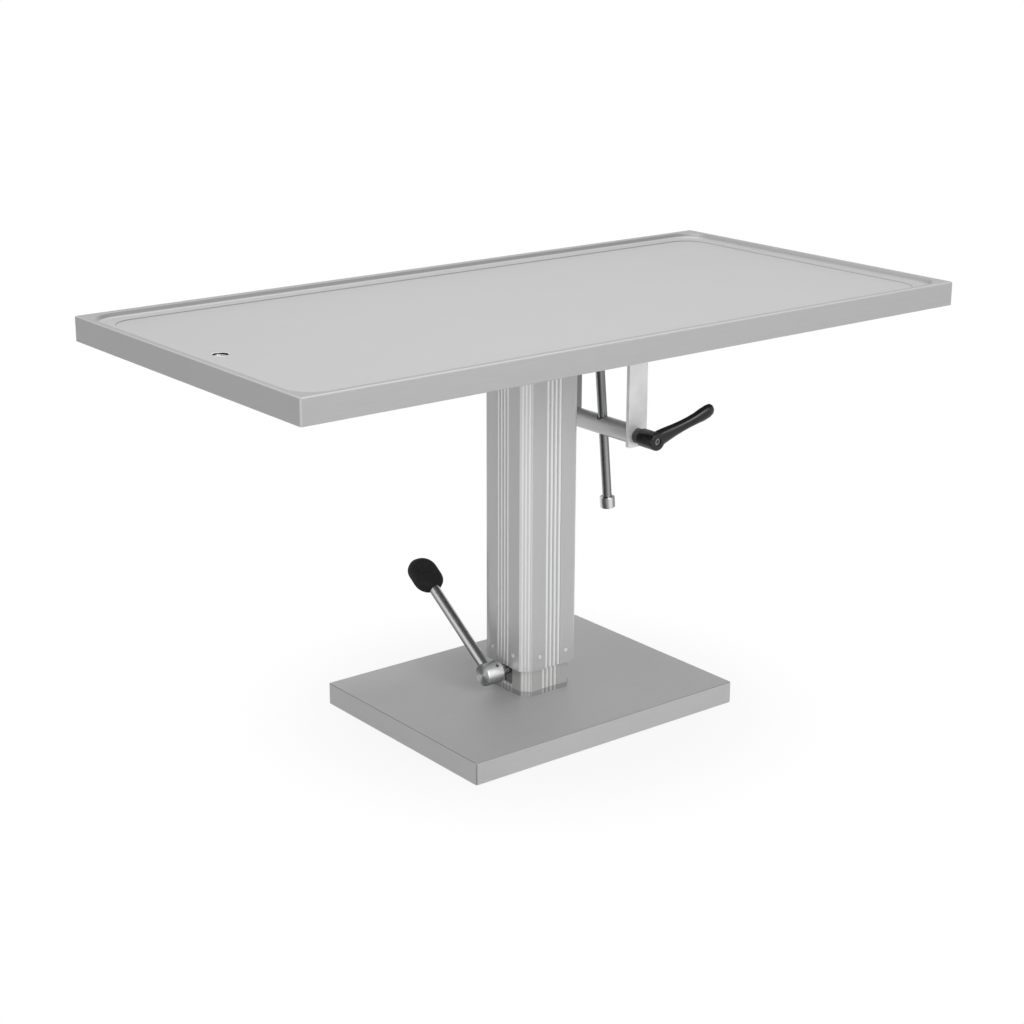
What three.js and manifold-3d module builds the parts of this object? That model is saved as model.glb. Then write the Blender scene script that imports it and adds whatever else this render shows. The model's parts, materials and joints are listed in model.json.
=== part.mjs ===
// Veterinary exam table: a tilting stainless steel top on a telescopic hydraulic column.
// Millimetres, +Z up, +X towards the tilt lock. The origin is on the floor, under the middle of the top.
// Rest pose: lift fully down, top level and locked, foot lever up.

import * as THREE from 'three';
import { mergeVertices } from 'three/addons/utils/BufferGeometryUtils.js';
import Module from 'manifold-3d';

const wasm = await Module();
wasm.setup();

// Fits shared by all pieces
const CLEARANCE = 0.3; // between neighbours that are cut to fit or turn in each other
const OVERCUT = 1; // cutting tools run this far past the faces they open
const ROUND_STEPS = 32;
const SMALL_STEPS = 16;
const CORNER_STEPS = 8;
const COVE_STEPS = 6;
const FLUTE_STEPS = 5;
const HEX = 6;

// Table top
const TOP_LENGTH = 1300;
const TOP_WIDTH = 650;
const TOP_HEIGHT = 710;
const APRON_HEIGHT = 40;
const SHEET = 2;
const RIM_LEDGE = 11;
const TRAY_DEPTH = 9;
const COVE_RUN = 6;
const GUTTER_WIDTH = 17;
const PANEL_STEP = 2;
const PANEL_STEP_RUN = 2;
const TRAY_CORNER_RADIUS = 45;
const TOP_CORNER_RADIUS = 4;
const TOP_EDGE_RADIUS = 2.5;
const HEM_WIDTH = 12;

// Drain
const DRAIN_FROM_END = 70;
const DRAIN_DIAMETER = 28;
const DRAIN_BORE = 20;
const DRAIN_LIP = 1.5;
const DRAIN_FLANGE = 46;
const DRAIN_FLANGE_THICKNESS = 4;
const DRAIN_TAIL = 45;
const DRAIN_NUT_DIAMETER = 44;
const DRAIN_NUT_HEIGHT = 9;

// Tilting sub-frame under the top
const RAIL_LENGTH = 1000;
const RAIL_WIDTH = 30;
const RAIL_HEIGHT = 25;
const RAIL_WALL = 2.5;
const RAIL_SPREAD = 116;
const LUG_THICKNESS = 10;
const LUG_WIDTH = 80;
const LUG_RADIUS = 20;
const TILT_DROP = 32;
const TILT_SHAFT_DIAMETER = 25;
const TILT_SHAFT_PROUD = 2;

// Column
const OUTER_WIDTH = 120;
const OUTER_CHAMFER = 16;
const OUTER_WALL = 5;
const GLIDE_GAP = 3;
const INNER_CHAMFER = 14;
const INNER_WALL = 7;
const INNER_CORNER_WALL = 21;
const SIDE_FLUTES = { count: 4, pitch: 8.5, width: 6, depth: 2.2 };
const CORNER_FLUTES = { count: 3, pitch: 5.8, width: 4, depth: 1.3 };
const COLUMN_CLEARANCE = 48; // outer column above the base when the lift is down
const GLIDE_HEIGHT = 40;
const GLIDE_WIDTH = 74;
const GLIDE_LIFT = 4; // glide above the lower edge of the outer column
const GLIDE_STUD_DIAMETER = 8;
const GLIDE_STUD_SPREAD = 56;
const GLIDE_STUD_PROUD = 0.8;
const GLIDE_STUD_EDGE = 0.5;
const COLLAR_HEIGHT = 8;

// Column head, side plates and lift
const HEAD_CLEARANCE = 26; // tilt axis above the top of the head
const HEAD_THICKNESS = 14;
const HEAD_WIDTH = 162;
const HEAD_OVERHANG = 2;
const PLUG_DEPTH = 30;
const LIFT_STOP_GAP = 22;
const LIFT_STROKE = 300;
const HEAD_SCREW_DROP = 7;
const SCREW_DIAMETER = 8;
const SCREW_HEAD_DIAMETER = 12.5;
const SCREW_HEAD_HEIGHT = 4.5;
const SCREW_HEAD_EDGE = 1.5;
const SCREW_LENGTH = 18;
const PLATE_THICKNESS = 7;
const PLATE_LEG_WIDTH = 40;
const PLATE_BACK = 38; // side plate behind the tilt axis
const PLATE_RISE = 22; // side plate above the tilt axis
const PLATE_FOOT = 19; // side plate below the cross bar axis
const PLATE_CORNER_RADIUS = 3;
const PLATE_SCREW_SPREAD = 52;
const BUSH_WALL = 3.5;
const BUSH_FLANGE = 4;
const BUSH_FLANGE_THICKNESS = 2.5;

// Tilt lock
const BAR_X = 156;
const BAR_DROP = 168; // cross bar axis below the tilt axis
const BAR_DIAMETER = 33;
const BAR_JOURNAL_DIAMETER = 20;
const BAR_RETAINER_DIAMETER = 32;
const BAR_RETAINER_WIDTH = 8;
const ROD_PIVOT_X = 139.5;
const ROD_PIVOT_DROP = 17; // rod pivot below the rails
const ROD_DIAMETER = 16;
const ROD_LENGTH = 333;
const ROD_SLIP = 2.6; // play of the rod along the slot in the cross bar
const ROD_SIDE_PLAY = 0.5;
const ROD_EYE_DIAMETER = 30;
const ROD_EYE_WIDTH = 18;
const ROD_PIN_DIAMETER = 12;
const ROD_PIN_HEAD = 3;
const ROD_LUG_THICKNESS = 6;
const ROD_LUG_RADIUS = 13;
const ROD_MEMBER_WIDTH = 40;
const ROD_NUT_DIAMETER = 26;
const ROD_NUT_LENGTH = 20;
const ROD_NUT_FLOOR = 3;
const ROD_NUT_EDGE = 1.5;

// Clamp lever
const CLAMP_STUD_DIAMETER = 12;
const CLAMP_STUD_GAP = 1; // tip of the stud to the rod
const CLAMP_COLLAR_DIAMETER = 26;
const CLAMP_COLLAR_LENGTH = 14;
const CLAMP_SPLINE_DIAMETER = 18;
const CLAMP_SPLINE_LENGTH = 22;
const CLAMP_HUB_DIAMETER = 31;
const CLAMP_HUB_LENGTH = 37;
const CLAMP_HUB_EDGE = 2.5;
const CLAMP_WEB = 2.4;
const CLAMP_PULL = 4; // handle lifts off its splines by this much
const CLAMP_SCREW_DIAMETER = 6;
const CLAMP_SCREW_HEAD_DIAMETER = 12.5;
const CLAMP_SCREW_RECESS = 1.8; // screw head below the hub's face
const CLAMP_SCREW_DEPTH = 10;
const CLAMP_SOCKET = 6;
const CLAMP_SOCKET_DEPTH = 3.5;
const CLAMP_ARM_LENGTH = 120;
const CLAMP_ARM_RISE = 18; // tip of the arm further out than its root
const CLAMP_ANGLE = 19;

// Base
const BASE_LENGTH = 550;
const BASE_WIDTH = 420;
const BASE_HEIGHT = 40;
const BASE_GAP = 2.5; // skirt above the floor
const BASE_CORNER_RADIUS = 4;
const BASE_EDGE_RADIUS = 2;
const COVER_SHEET = 2;
const SLAB_THICKNESS = 16;
const SLAB_MARGIN = 6;
const FOOT_INSET = 45;
const FOOT_DIAMETER = 44;
const FOOT_PAD_HEIGHT = 10;
const FOOT_EDGE = 1.5;
const FOOT_NECK_DIAMETER = 24;
const FOOT_STUD_DIAMETER = 10;
const FOOT_STUD_LENGTH = 12;
const FOOT_PLATE_THICKNESS = 8.5;
const BOLT_DIAMETER = 10;
const BOLT_HEAD_DIAMETER = 16;
const BOLT_HEAD_HEIGHT = 8;
const BOLT_GRIP = 30; // length of bolt inside the inner column

// Hydraulic pump and foot lever
const PUMP_AXIS_RISE = 38; // lever axis above the base
const PUMP_BLOCK_HEIGHT = 11.5;
const PUMP_FIT = 1;
const PEDESTAL_THICKNESS = 6.5;
const PEDESTAL_WIDTH = 26;
const PEDESTAL_RISE = 14;
const SHAFT_DIAMETER = 18;
const SHAFT_TAIL_DIAMETER = 12;
const PORT_WIDTH = 26;
const PORT_RISE = 4;
const PORT_HEIGHT = 52;
const CRANK_RADIUS = 14.5;
const CRANK_HUB_RADIUS = 8.5;
const CRANK_NOSE_RADIUS = 5;
const CRANK_THICKNESS = 8;
const CRANK_GAP = 2.5; // between the crank and the pedestal
const LEVER_TRAVEL = 32;
const PLUNGER_DIAMETER = 8;
const PLUNGER_HEAD_DIAMETER = 9;
const PLUNGER_HEAD_HEIGHT = 4;
const PLUNGER_GRIP = 3; // length of plunger inside the pump block at rest
const SPRING_WIRE = 0.7;
const SPRING_TURNS = 5;
const HUB_DIAMETER = 38.4;
const HUB_LENGTH = 33;
const HUB_EDGE = 1.2;
const HUB_GAP = 10; // hub to the outer column
const HUB_BORE_DEPTH = 16;
const SET_SCREW_DIAMETER = 6;
const SET_SCREW_LENGTH = 5;
const SET_SCREW_INSET = 10;
const LEVER_ANGLE = 34.4;
const LEVER_DIAMETER = 19;
const LEVER_INSET = 18; // lever rod from the column side of the hub
const LEVER_ROOT = 10;
const LEVER_LENGTH = 212;
const PAD_LENGTH = 68;
const PAD_WIDTH = 54;
const PAD_THICKNESS = 26;
const PAD_GRIP = 25; // length of lever rod inside the pad
const PAD_CORNER_RADIUS = 25;
const PAD_EDGE = 11;

// Hydraulic cylinder
const CYLINDER_DIAMETER = 50;
const CYLINDER_BORE = 40;
const CYLINDER_FLOOR = 8;
const CYLINDER_SPARE = 35; // cylinder above the piston at full lift
const GLAND_HEIGHT = 14;
const RAM_DIAMETER = 30;
const PISTON_HEIGHT = 20;
const RAM_BOLT_DIAMETER = 16;
const RAM_BOLT_HEAD_DIAMETER = 24;
const RAM_BOLT_HEAD_HEIGHT = 10;
const RAM_BOLT_LENGTH = 40; // below the plug

// Heights, from the floor up
const APRON_BOTTOM = TOP_HEIGHT - APRON_HEIGHT;
const GUTTER_Z = TOP_HEIGHT - TRAY_DEPTH;
const PANEL_Z = GUTTER_Z - PANEL_STEP;
const PANEL_UNDER = PANEL_Z - SHEET;
const RAIL_BOTTOM = PANEL_UNDER - RAIL_HEIGHT;
const TILT_Z = RAIL_BOTTOM - TILT_DROP;
const HEAD_TOP = TILT_Z - HEAD_CLEARANCE;
const HEAD_BOTTOM = HEAD_TOP - HEAD_THICKNESS;
const PLUG_BOTTOM = HEAD_BOTTOM - PLUG_DEPTH;
const INNER_TOP = PLUG_BOTTOM - LIFT_STOP_GAP - COLLAR_HEIGHT;
const BAR_Z = TILT_Z - BAR_DROP;
const ROD_PIVOT_Z = RAIL_BOTTOM - ROD_PIVOT_DROP;
const SLAB_TOP = BASE_HEIGHT - COVER_SHEET;
const SLAB_BOTTOM = SLAB_TOP - SLAB_THICKNESS;
const FOOT_PLATE_TOP = BASE_HEIGHT + FOOT_PLATE_THICKNESS;
const OUTER_BOTTOM = BASE_HEIGHT + COLUMN_CLEARANCE;
const PUMP_TOP = FOOT_PLATE_TOP + PUMP_BLOCK_HEIGHT;
const PUMP_AXIS_Z = BASE_HEIGHT + PUMP_AXIS_RISE;
const RAM_BOTTOM = PUMP_TOP + CYLINDER_FLOOR + CLEARANCE;
const CYLINDER_TOP = RAM_BOTTOM + PISTON_HEIGHT + LIFT_STROKE + CYLINDER_SPARE;

// Half widths of the column's sections
const OUTER_HALF = OUTER_WIDTH / 2;
const CAVITY = insetSquare(OUTER_HALF, OUTER_CHAMFER, OUTER_WALL);
const INNER_HALF = CAVITY.half - GLIDE_GAP;
const INNER_DIAGONAL = (2 * INNER_HALF - INNER_CHAMFER) / Math.SQRT2;
const BORE_HALF = INNER_HALF - INNER_WALL;
const BORE_DIAGONAL = INNER_DIAGONAL - INNER_CORNER_WALL;
const BORE_CHAMFER = 2 * BORE_HALF - Math.SQRT2 * BORE_DIAGONAL;
const BOLT_PLACE = (INNER_DIAGONAL + BORE_DIAGONAL) / 2 / Math.SQRT2;

// Other shared places
const DRAIN_X = DRAIN_FROM_END - TOP_LENGTH / 2;
const HEAD_HALF = HEAD_WIDTH / 2;
const PLATE_OUTER = HEAD_HALF + PLATE_THICKNESS;
const RAIL_Y = RAIL_SPREAD / 2;
const ROD_LEAN = Math.atan2(BAR_X - ROD_PIVOT_X, ROD_PIVOT_Z - BAR_Z);
const BUSH_RADIUS = TILT_SHAFT_DIAMETER / 2 + CLEARANCE + BUSH_WALL;
const COLLAR_BACK = PLATE_OUTER + CLEARANCE;
const SPLINE_ROOT = COLLAR_BACK + CLAMP_COLLAR_LENGTH;
const SPLINE_END = SPLINE_ROOT + CLAMP_SPLINE_LENGTH;
const HUB_ROOT = SPLINE_ROOT + CLEARANCE;
const HUB_FACE = HUB_ROOT + CLAMP_HUB_LENGTH;
const WEB_FACE = SPLINE_END + CLEARANCE + CLAMP_WEB;
const SCREW_SEAT = WEB_FACE + CLAMP_PULL + CLEARANCE;
const PEDESTAL_X = -(BORE_HALF - PUMP_FIT - CLEARANCE);
const CRANK_X = PEDESTAL_X + PEDESTAL_THICKNESS + CRANK_GAP;
const PLUNGER_X = CRANK_X + CRANK_THICKNESS / 2;
const PLUNGER_Y = CRANK_RADIUS * Math.cos(THREE.MathUtils.degToRad(LEVER_TRAVEL / 2));
const CRANK_NOSE_Z = PUMP_AXIS_Z + CRANK_RADIUS * Math.sin(THREE.MathUtils.degToRad(LEVER_TRAVEL / 2));
const PLUNGER_TOP = CRANK_NOSE_Z - CRANK_NOSE_RADIUS - CLEARANCE;
const LEVER_HUB_END = -(OUTER_HALF + HUB_GAP);

// Materials
const finish = (color, roughness, metalness) =>
  new THREE.MeshStandardMaterial({ color, roughness, metalness });
const STAINLESS = finish(0xc6c8c8, 0.42, 0.9);
const ALUMINIUM = finish(0xc2c3c4, 0.45, 0.85);
const LIGHT_PLATE = finish(0xdedfe0, 0.5, 0.3);
const BRIGHT_STEEL = finish(0xa9abac, 0.22, 1);
const DARK_STEEL = finish(0x54565a, 0.45, 0.8);
const CAST_GREY = finish(0x6e7174, 0.6, 0.6);
const WHITE_PLASTIC = finish(0xe9e9e6, 0.45, 0);
const BLACK_PLASTIC = finish(0x17181a, 0.3, 0);
const BLACK_RUBBER = finish(0x1d1d1f, 0.85, 0);

// Solids and meshes

function signedVolume(positions, triangles) {
  const corner = (index) => new THREE.Vector3().fromArray(positions, 3 * index);
  let volume = 0;
  for (let i = 0; i < triangles.length; i += 3) {
    const [a, b, c] = [corner(triangles[i]), corner(triangles[i + 1]), corner(triangles[i + 2])];
    volume += a.dot(b.cross(c)) / 6;
  }
  return volume;
}

// One closed solid from a geometry, with shared corners merged and faces turned outwards.
function toSolid(shape) {
  if (!shape.isBufferGeometry) return shape;
  const bare = shape.clone();
  bare.deleteAttribute('normal');
  bare.deleteAttribute('uv');
  const merged = mergeVertices(bare);
  const positions = Float32Array.from(merged.attributes.position.array);
  const corners = merged.index.array;
  const triangles = [];
  for (let i = 0; i < corners.length; i += 3) {
    const [a, b, c] = [corners[i], corners[i + 1], corners[i + 2]];
    if (a !== b && b !== c && c !== a) triangles.push(a, b, c);
  }
  if (signedVolume(positions, triangles) < 0) triangles.reverse();
  const triVerts = Uint32Array.from(triangles);
  return new wasm.Manifold(new wasm.Mesh({ numProp: 3, vertProperties: positions, triVerts }));
}

const cut = (body, ...tools) => tools.reduce((solid, tool) => solid.subtract(toSolid(tool)), toSolid(body));
const join = (body, ...others) => others.reduce((solid, other) => solid.add(toSolid(other)), toSolid(body));

function addPart(group, name, shape, material) {
  const { numProp, vertProperties, triVerts } = toSolid(shape).getMesh();
  const geometry = new THREE.BufferGeometry();
  geometry.setAttribute('position', new THREE.BufferAttribute(Float32Array.from(vertProperties), numProp));
  geometry.setIndex(new THREE.BufferAttribute(Uint32Array.from(triVerts), 1));
  geometry.computeVertexNormals();
  const part = new THREE.Mesh(geometry, material);
  part.name = name;
  group.add(part);
}

// Shapes

function box([x0, x1], [y0, y1], [z0, z1]) {
  const block = new THREE.BoxGeometry(x1 - x0, y1 - y0, z1 - z0);
  return block.translate((x0 + x1) / 2, (y0 + y1) / 2, (z0 + z1) / 2);
}

// A turned piece: the profile is a list of [radius, place along the axis], closed on the axis or on itself.
function turned(profile, axis = 'z', at = {}, steps = ROUND_STEPS) {
  const points = profile.map(([radius, along]) => new THREE.Vector2(radius, along));
  if (profile[0][0] > 0) points.push(points[0].clone());
  const piece = new THREE.LatheGeometry(points, steps);
  if (axis === 'x') piece.rotateZ(-Math.PI / 2);
  if (axis === 'z') piece.rotateX(Math.PI / 2);
  return piece.translate(at.x ?? 0, at.y ?? 0, at.z ?? 0);
}

const pin = (radius, from, to, axis, at, steps) =>
  turned([[0, from], [radius, from], [radius, to], [0, to]], axis, at, steps);

const ring = (outer, inner, from, to, axis, at, steps) =>
  turned([[inner, from], [outer, from], [outer, to], [inner, to]], axis, at, steps);

const extruded = (shape, depth) =>
  new THREE.ExtrudeGeometry(shape, { depth, bevelEnabled: false, curveSegments: CORNER_STEPS });

function prism(outline, [z0, z1], holes = []) {
  const shape = new THREE.Shape(outline);
  shape.holes = holes.map((hole) => new THREE.Path(hole));
  return extruded(shape, z1 - z0).translate(0, 0, z0);
}

// A flat plate standing in the XZ plane: the shape's second coordinate is Z.
function uprightPlate(shape, [y0, y1]) {
  return extruded(shape, y1 - y0).rotateX(Math.PI / 2).translate(0, y1, 0);
}

// A closed skin through rings of equally many points, capped by fans at both ends.
function loft(rings) {
  const count = rings[0].length;
  const points = rings.flat();
  const middle = (points) => points.reduce((sum, p) => sum.add(p), new THREE.Vector3()).divideScalar(count);
  const caps = [middle(rings[0]), middle(rings.at(-1))];
  const first = points.length;
  const last = first - count;
  const index = [];
  for (let j = 0; j < count; j += 1) {
    const k = (j + 1) % count;
    for (let start = 0; start < last; start += count) {
      index.push(start + j, start + k, start + count + k);
      index.push(start + j, start + count + k, start + count + j);
    }
    index.push(first, k, j);
    index.push(first + 1, last + j, last + k);
  }
  const skin = new THREE.BufferGeometry().setFromPoints([...points, ...caps]);
  skin.setIndex(index);
  return skin;
}

function roundedRing(length, width, inset, radius, z) {
  const cornerX = length / 2 - inset - radius;
  const cornerY = width / 2 - inset - radius;
  const signs = [[1, 1], [-1, 1], [-1, -1], [1, -1]];
  const points = [];
  signs.forEach(([sx, sy], quarter) => {
    for (let step = 0; step <= CORNER_STEPS; step += 1) {
      const angle = (quarter + step / CORNER_STEPS) * (Math.PI / 2);
      points.push(new THREE.Vector3(
        sx * cornerX + radius * Math.cos(angle), sy * cornerY + radius * Math.sin(angle), z));
    }
  });
  return points;
}

function insetSquare(half, chamfer, distance) {
  return { half: half - distance, chamfer: chamfer - (2 - Math.SQRT2) * distance };
}

// A square with cut corners, from its lower side round by the right, and flutes along sides and corners.
function columnOutline(half, chamfer, fluted) {
  const points = [];
  const run = (from, to, { count, pitch, width, depth }) => {
    const along = to.clone().sub(from).normalize();
    const inward = new THREE.Vector2(-along.y, along.x);
    const middle = from.clone().add(to).divideScalar(2);
    points.push(from);
    for (let flute = 0; fluted && flute < count; flute += 1) {
      const centre = (flute - (count - 1) / 2) * pitch;
      for (let step = 0; step <= FLUTE_STEPS; step += 1) {
        const angle = (Math.PI * step) / FLUTE_STEPS;
        const place = middle.clone().addScaledVector(along, centre - (width / 2) * Math.cos(angle));
        points.push(place.addScaledVector(inward, depth * Math.sin(angle)));
      }
    }
  };
  const origin = new THREE.Vector2();
  for (let side = 0; side < 4; side += 1) {
    const corner = (x, y) => new THREE.Vector2(x, y).rotateAround(origin, (side * Math.PI) / 2);
    const [start, end, next] = [
      corner(chamfer - half, -half), corner(half - chamfer, -half), corner(half, chamfer - half)];
    run(start, end, SIDE_FLUTES);
    run(end, next, CORNER_FLUTES);
  }
  return points;
}

// An edge rounded from a level top into an upright side, as [inset, z] pairs from the top outwards.
const roundedEdge = (radius, z) => [
  [radius, z], [radius * (1 - Math.SQRT1_2), z - radius * (1 - Math.SQRT1_2)], [0, z - radius]];

const quarterTurn = (shape, quarter) => shape.rotateZ((quarter * Math.PI) / 2);
const SIDES = [-1, 1];
const FACES = ['front', 'right', 'back', 'left'];

// Base: cover, ballast slab, levelling feet, column foot plate and bolts

function footPlaces() {
  const x = BASE_LENGTH / 2 - FOOT_INSET;
  const y = BASE_WIDTH / 2 - FOOT_INSET;
  return SIDES.flatMap((sy) => SIDES.map((sx) => ({
    name: `foot_${sy < 0 ? 'front' : 'back'}_${sx < 0 ? 'left' : 'right'}`,
    at: { x: sx * x, y: sy * y },
  })));
}

const boltPlaces = () =>
  SIDES.flatMap((sy) => SIDES.map((sx) => ({ x: sx * BOLT_PLACE, y: sy * BOLT_PLACE })));

function addBase(group) {
  const coverRing = ([inset, z]) => {
    const radius = Math.max(BASE_CORNER_RADIUS - inset, COVER_SHEET);
    return roundedRing(BASE_LENGTH, BASE_WIDTH, inset, radius, z);
  };
  const cover = loft([
    ...roundedEdge(BASE_EDGE_RADIUS, BASE_HEIGHT),
    [0, BASE_GAP],
    [COVER_SHEET, BASE_GAP],
    [COVER_SHEET, SLAB_TOP],
  ].map(coverRing));
  const boltHoles = (from, to) => boltPlaces().map((at) =>
    pin(BOLT_DIAMETER / 2 + CLEARANCE, from - OVERCUT, to + OVERCUT, 'z', at, SMALL_STEPS));
  addPart(group, 'base_cover', cut(cover, ...boltHoles(SLAB_TOP, BASE_HEIGHT)), STAINLESS);

  const slabX = BASE_LENGTH / 2 - COVER_SHEET - SLAB_MARGIN;
  const slabY = BASE_WIDTH / 2 - COVER_SHEET - SLAB_MARGIN;
  const slab = box([-slabX, slabX], [-slabY, slabY], [SLAB_BOTTOM, SLAB_TOP]);
  const studHoles = footPlaces().map(({ at }) => pin(
    FOOT_STUD_DIAMETER / 2 + CLEARANCE, SLAB_BOTTOM - OVERCUT, SLAB_TOP + OVERCUT, 'z', at, SMALL_STEPS));
  addPart(group, 'base_slab', cut(slab, ...studHoles, ...boltHoles(SLAB_BOTTOM, SLAB_TOP)), CAST_GREY);

  const padRadius = FOOT_DIAMETER / 2;
  const neckRadius = FOOT_NECK_DIAMETER / 2;
  const footProfile = [
    [0, 0], [padRadius - FOOT_EDGE, 0], [padRadius, FOOT_EDGE], [padRadius, FOOT_PAD_HEIGHT / 2],
    [neckRadius, FOOT_PAD_HEIGHT], [neckRadius, SLAB_BOTTOM], [FOOT_STUD_DIAMETER / 2, SLAB_BOTTOM],
    [FOOT_STUD_DIAMETER / 2, SLAB_BOTTOM + FOOT_STUD_LENGTH], [0, SLAB_BOTTOM + FOOT_STUD_LENGTH]];
  footPlaces().forEach(({ name, at }) => {
    addPart(group, name, turned(footProfile, 'z', at, SMALL_STEPS), BLACK_RUBBER);
  });

  const footPlate = prism(columnOutline(INNER_HALF, INNER_CHAMFER, true), [BASE_HEIGHT, FOOT_PLATE_TOP]);
  addPart(group, 'column_foot_plate', cut(footPlate, ...boltHoles(BASE_HEIGHT, FOOT_PLATE_TOP)), CAST_GREY);

  const boltProfile = [
    [0, SLAB_BOTTOM - BOLT_HEAD_HEIGHT], [BOLT_HEAD_DIAMETER / 2, SLAB_BOTTOM - BOLT_HEAD_HEIGHT],
    [BOLT_HEAD_DIAMETER / 2, SLAB_BOTTOM], [BOLT_DIAMETER / 2, SLAB_BOTTOM],
    [BOLT_DIAMETER / 2, FOOT_PLATE_TOP + BOLT_GRIP], [0, FOOT_PLATE_TOP + BOLT_GRIP]];
  boltPlaces().forEach((at, i) => {
    addPart(group, `column_bolt_${i + 1}`, turned(boltProfile, 'z', at, SMALL_STEPS), DARK_STEEL);
  });

  const bore = columnOutline(BORE_HALF, BORE_CHAMFER, false);
  const tube = prism(columnOutline(INNER_HALF, INNER_CHAMFER, true), [FOOT_PLATE_TOP, INNER_TOP], [bore]);
  const portBottom = FOOT_PLATE_TOP + PORT_RISE;
  const port = box(
    [-INNER_HALF - OVERCUT, OVERCUT - BORE_HALF],
    [-PORT_WIDTH / 2, PORT_WIDTH / 2],
    [portBottom, portBottom + PORT_HEIGHT]);
  const screwPorts = boltHoles(FOOT_PLATE_TOP, FOOT_PLATE_TOP + BOLT_GRIP);
  addPart(group, 'inner_column', cut(tube, port, ...screwPorts), ALUMINIUM);

  const collar = insetSquare(CAVITY.half, CAVITY.chamfer, CLEARANCE);
  const collarOutline = columnOutline(collar.half, collar.chamfer, false);
  const glideCollar = prism(collarOutline, [INNER_TOP, INNER_TOP + COLLAR_HEIGHT], [bore]);
  addPart(group, 'upper_glide_collar', glideCollar, WHITE_PLASTIC);
}

// Pump block and lift cylinder inside the inner column

function addHydraulics(group) {
  const fit = insetSquare(BORE_HALF, BORE_CHAMFER, PUMP_FIT);
  const block = prism(columnOutline(fit.half, fit.chamfer, false), [FOOT_PLATE_TOP, PUMP_TOP]);
  const pedestalEnd = PEDESTAL_X + PEDESTAL_THICKNESS;
  const pedestal = box(
    [PEDESTAL_X, pedestalEnd], [-PEDESTAL_WIDTH / 2, PEDESTAL_WIDTH / 2],
    [FOOT_PLATE_TOP + OVERCUT, PUMP_AXIS_Z + PEDESTAL_RISE]);
  const shaftHole = pin(
    SHAFT_DIAMETER / 2 + CLEARANCE, PEDESTAL_X - OVERCUT, pedestalEnd + OVERCUT, 'x', { z: PUMP_AXIS_Z });
  const plungerBore = pin(
    PLUNGER_DIAMETER / 2 + CLEARANCE, FOOT_PLATE_TOP - OVERCUT, PUMP_TOP + OVERCUT, 'z',
    { x: PLUNGER_X, y: PLUNGER_Y }, SMALL_STEPS);
  addPart(group, 'pump_block', cut(join(block, pedestal), shaftHole, plungerBore), CAST_GREY);

  const outer = CYLINDER_DIAMETER / 2;
  const inner = CYLINDER_BORE / 2;
  const floor = PUMP_TOP + CYLINDER_FLOOR;
  const barrel = [
    [0, PUMP_TOP], [outer, PUMP_TOP], [outer, CYLINDER_TOP],
    [inner, CYLINDER_TOP], [inner, floor], [0, floor]];
  addPart(group, 'hydraulic_cylinder', turned(barrel), DARK_STEEL);
  const gland = ring(outer, RAM_DIAMETER / 2 + CLEARANCE, CYLINDER_TOP, CYLINDER_TOP + GLAND_HEIGHT);
  addPart(group, 'cylinder_gland', gland, BRIGHT_STEEL);
}

// Foot lever: shaft and crank inside the column, hub, lever rod and rubber pad outside

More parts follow.
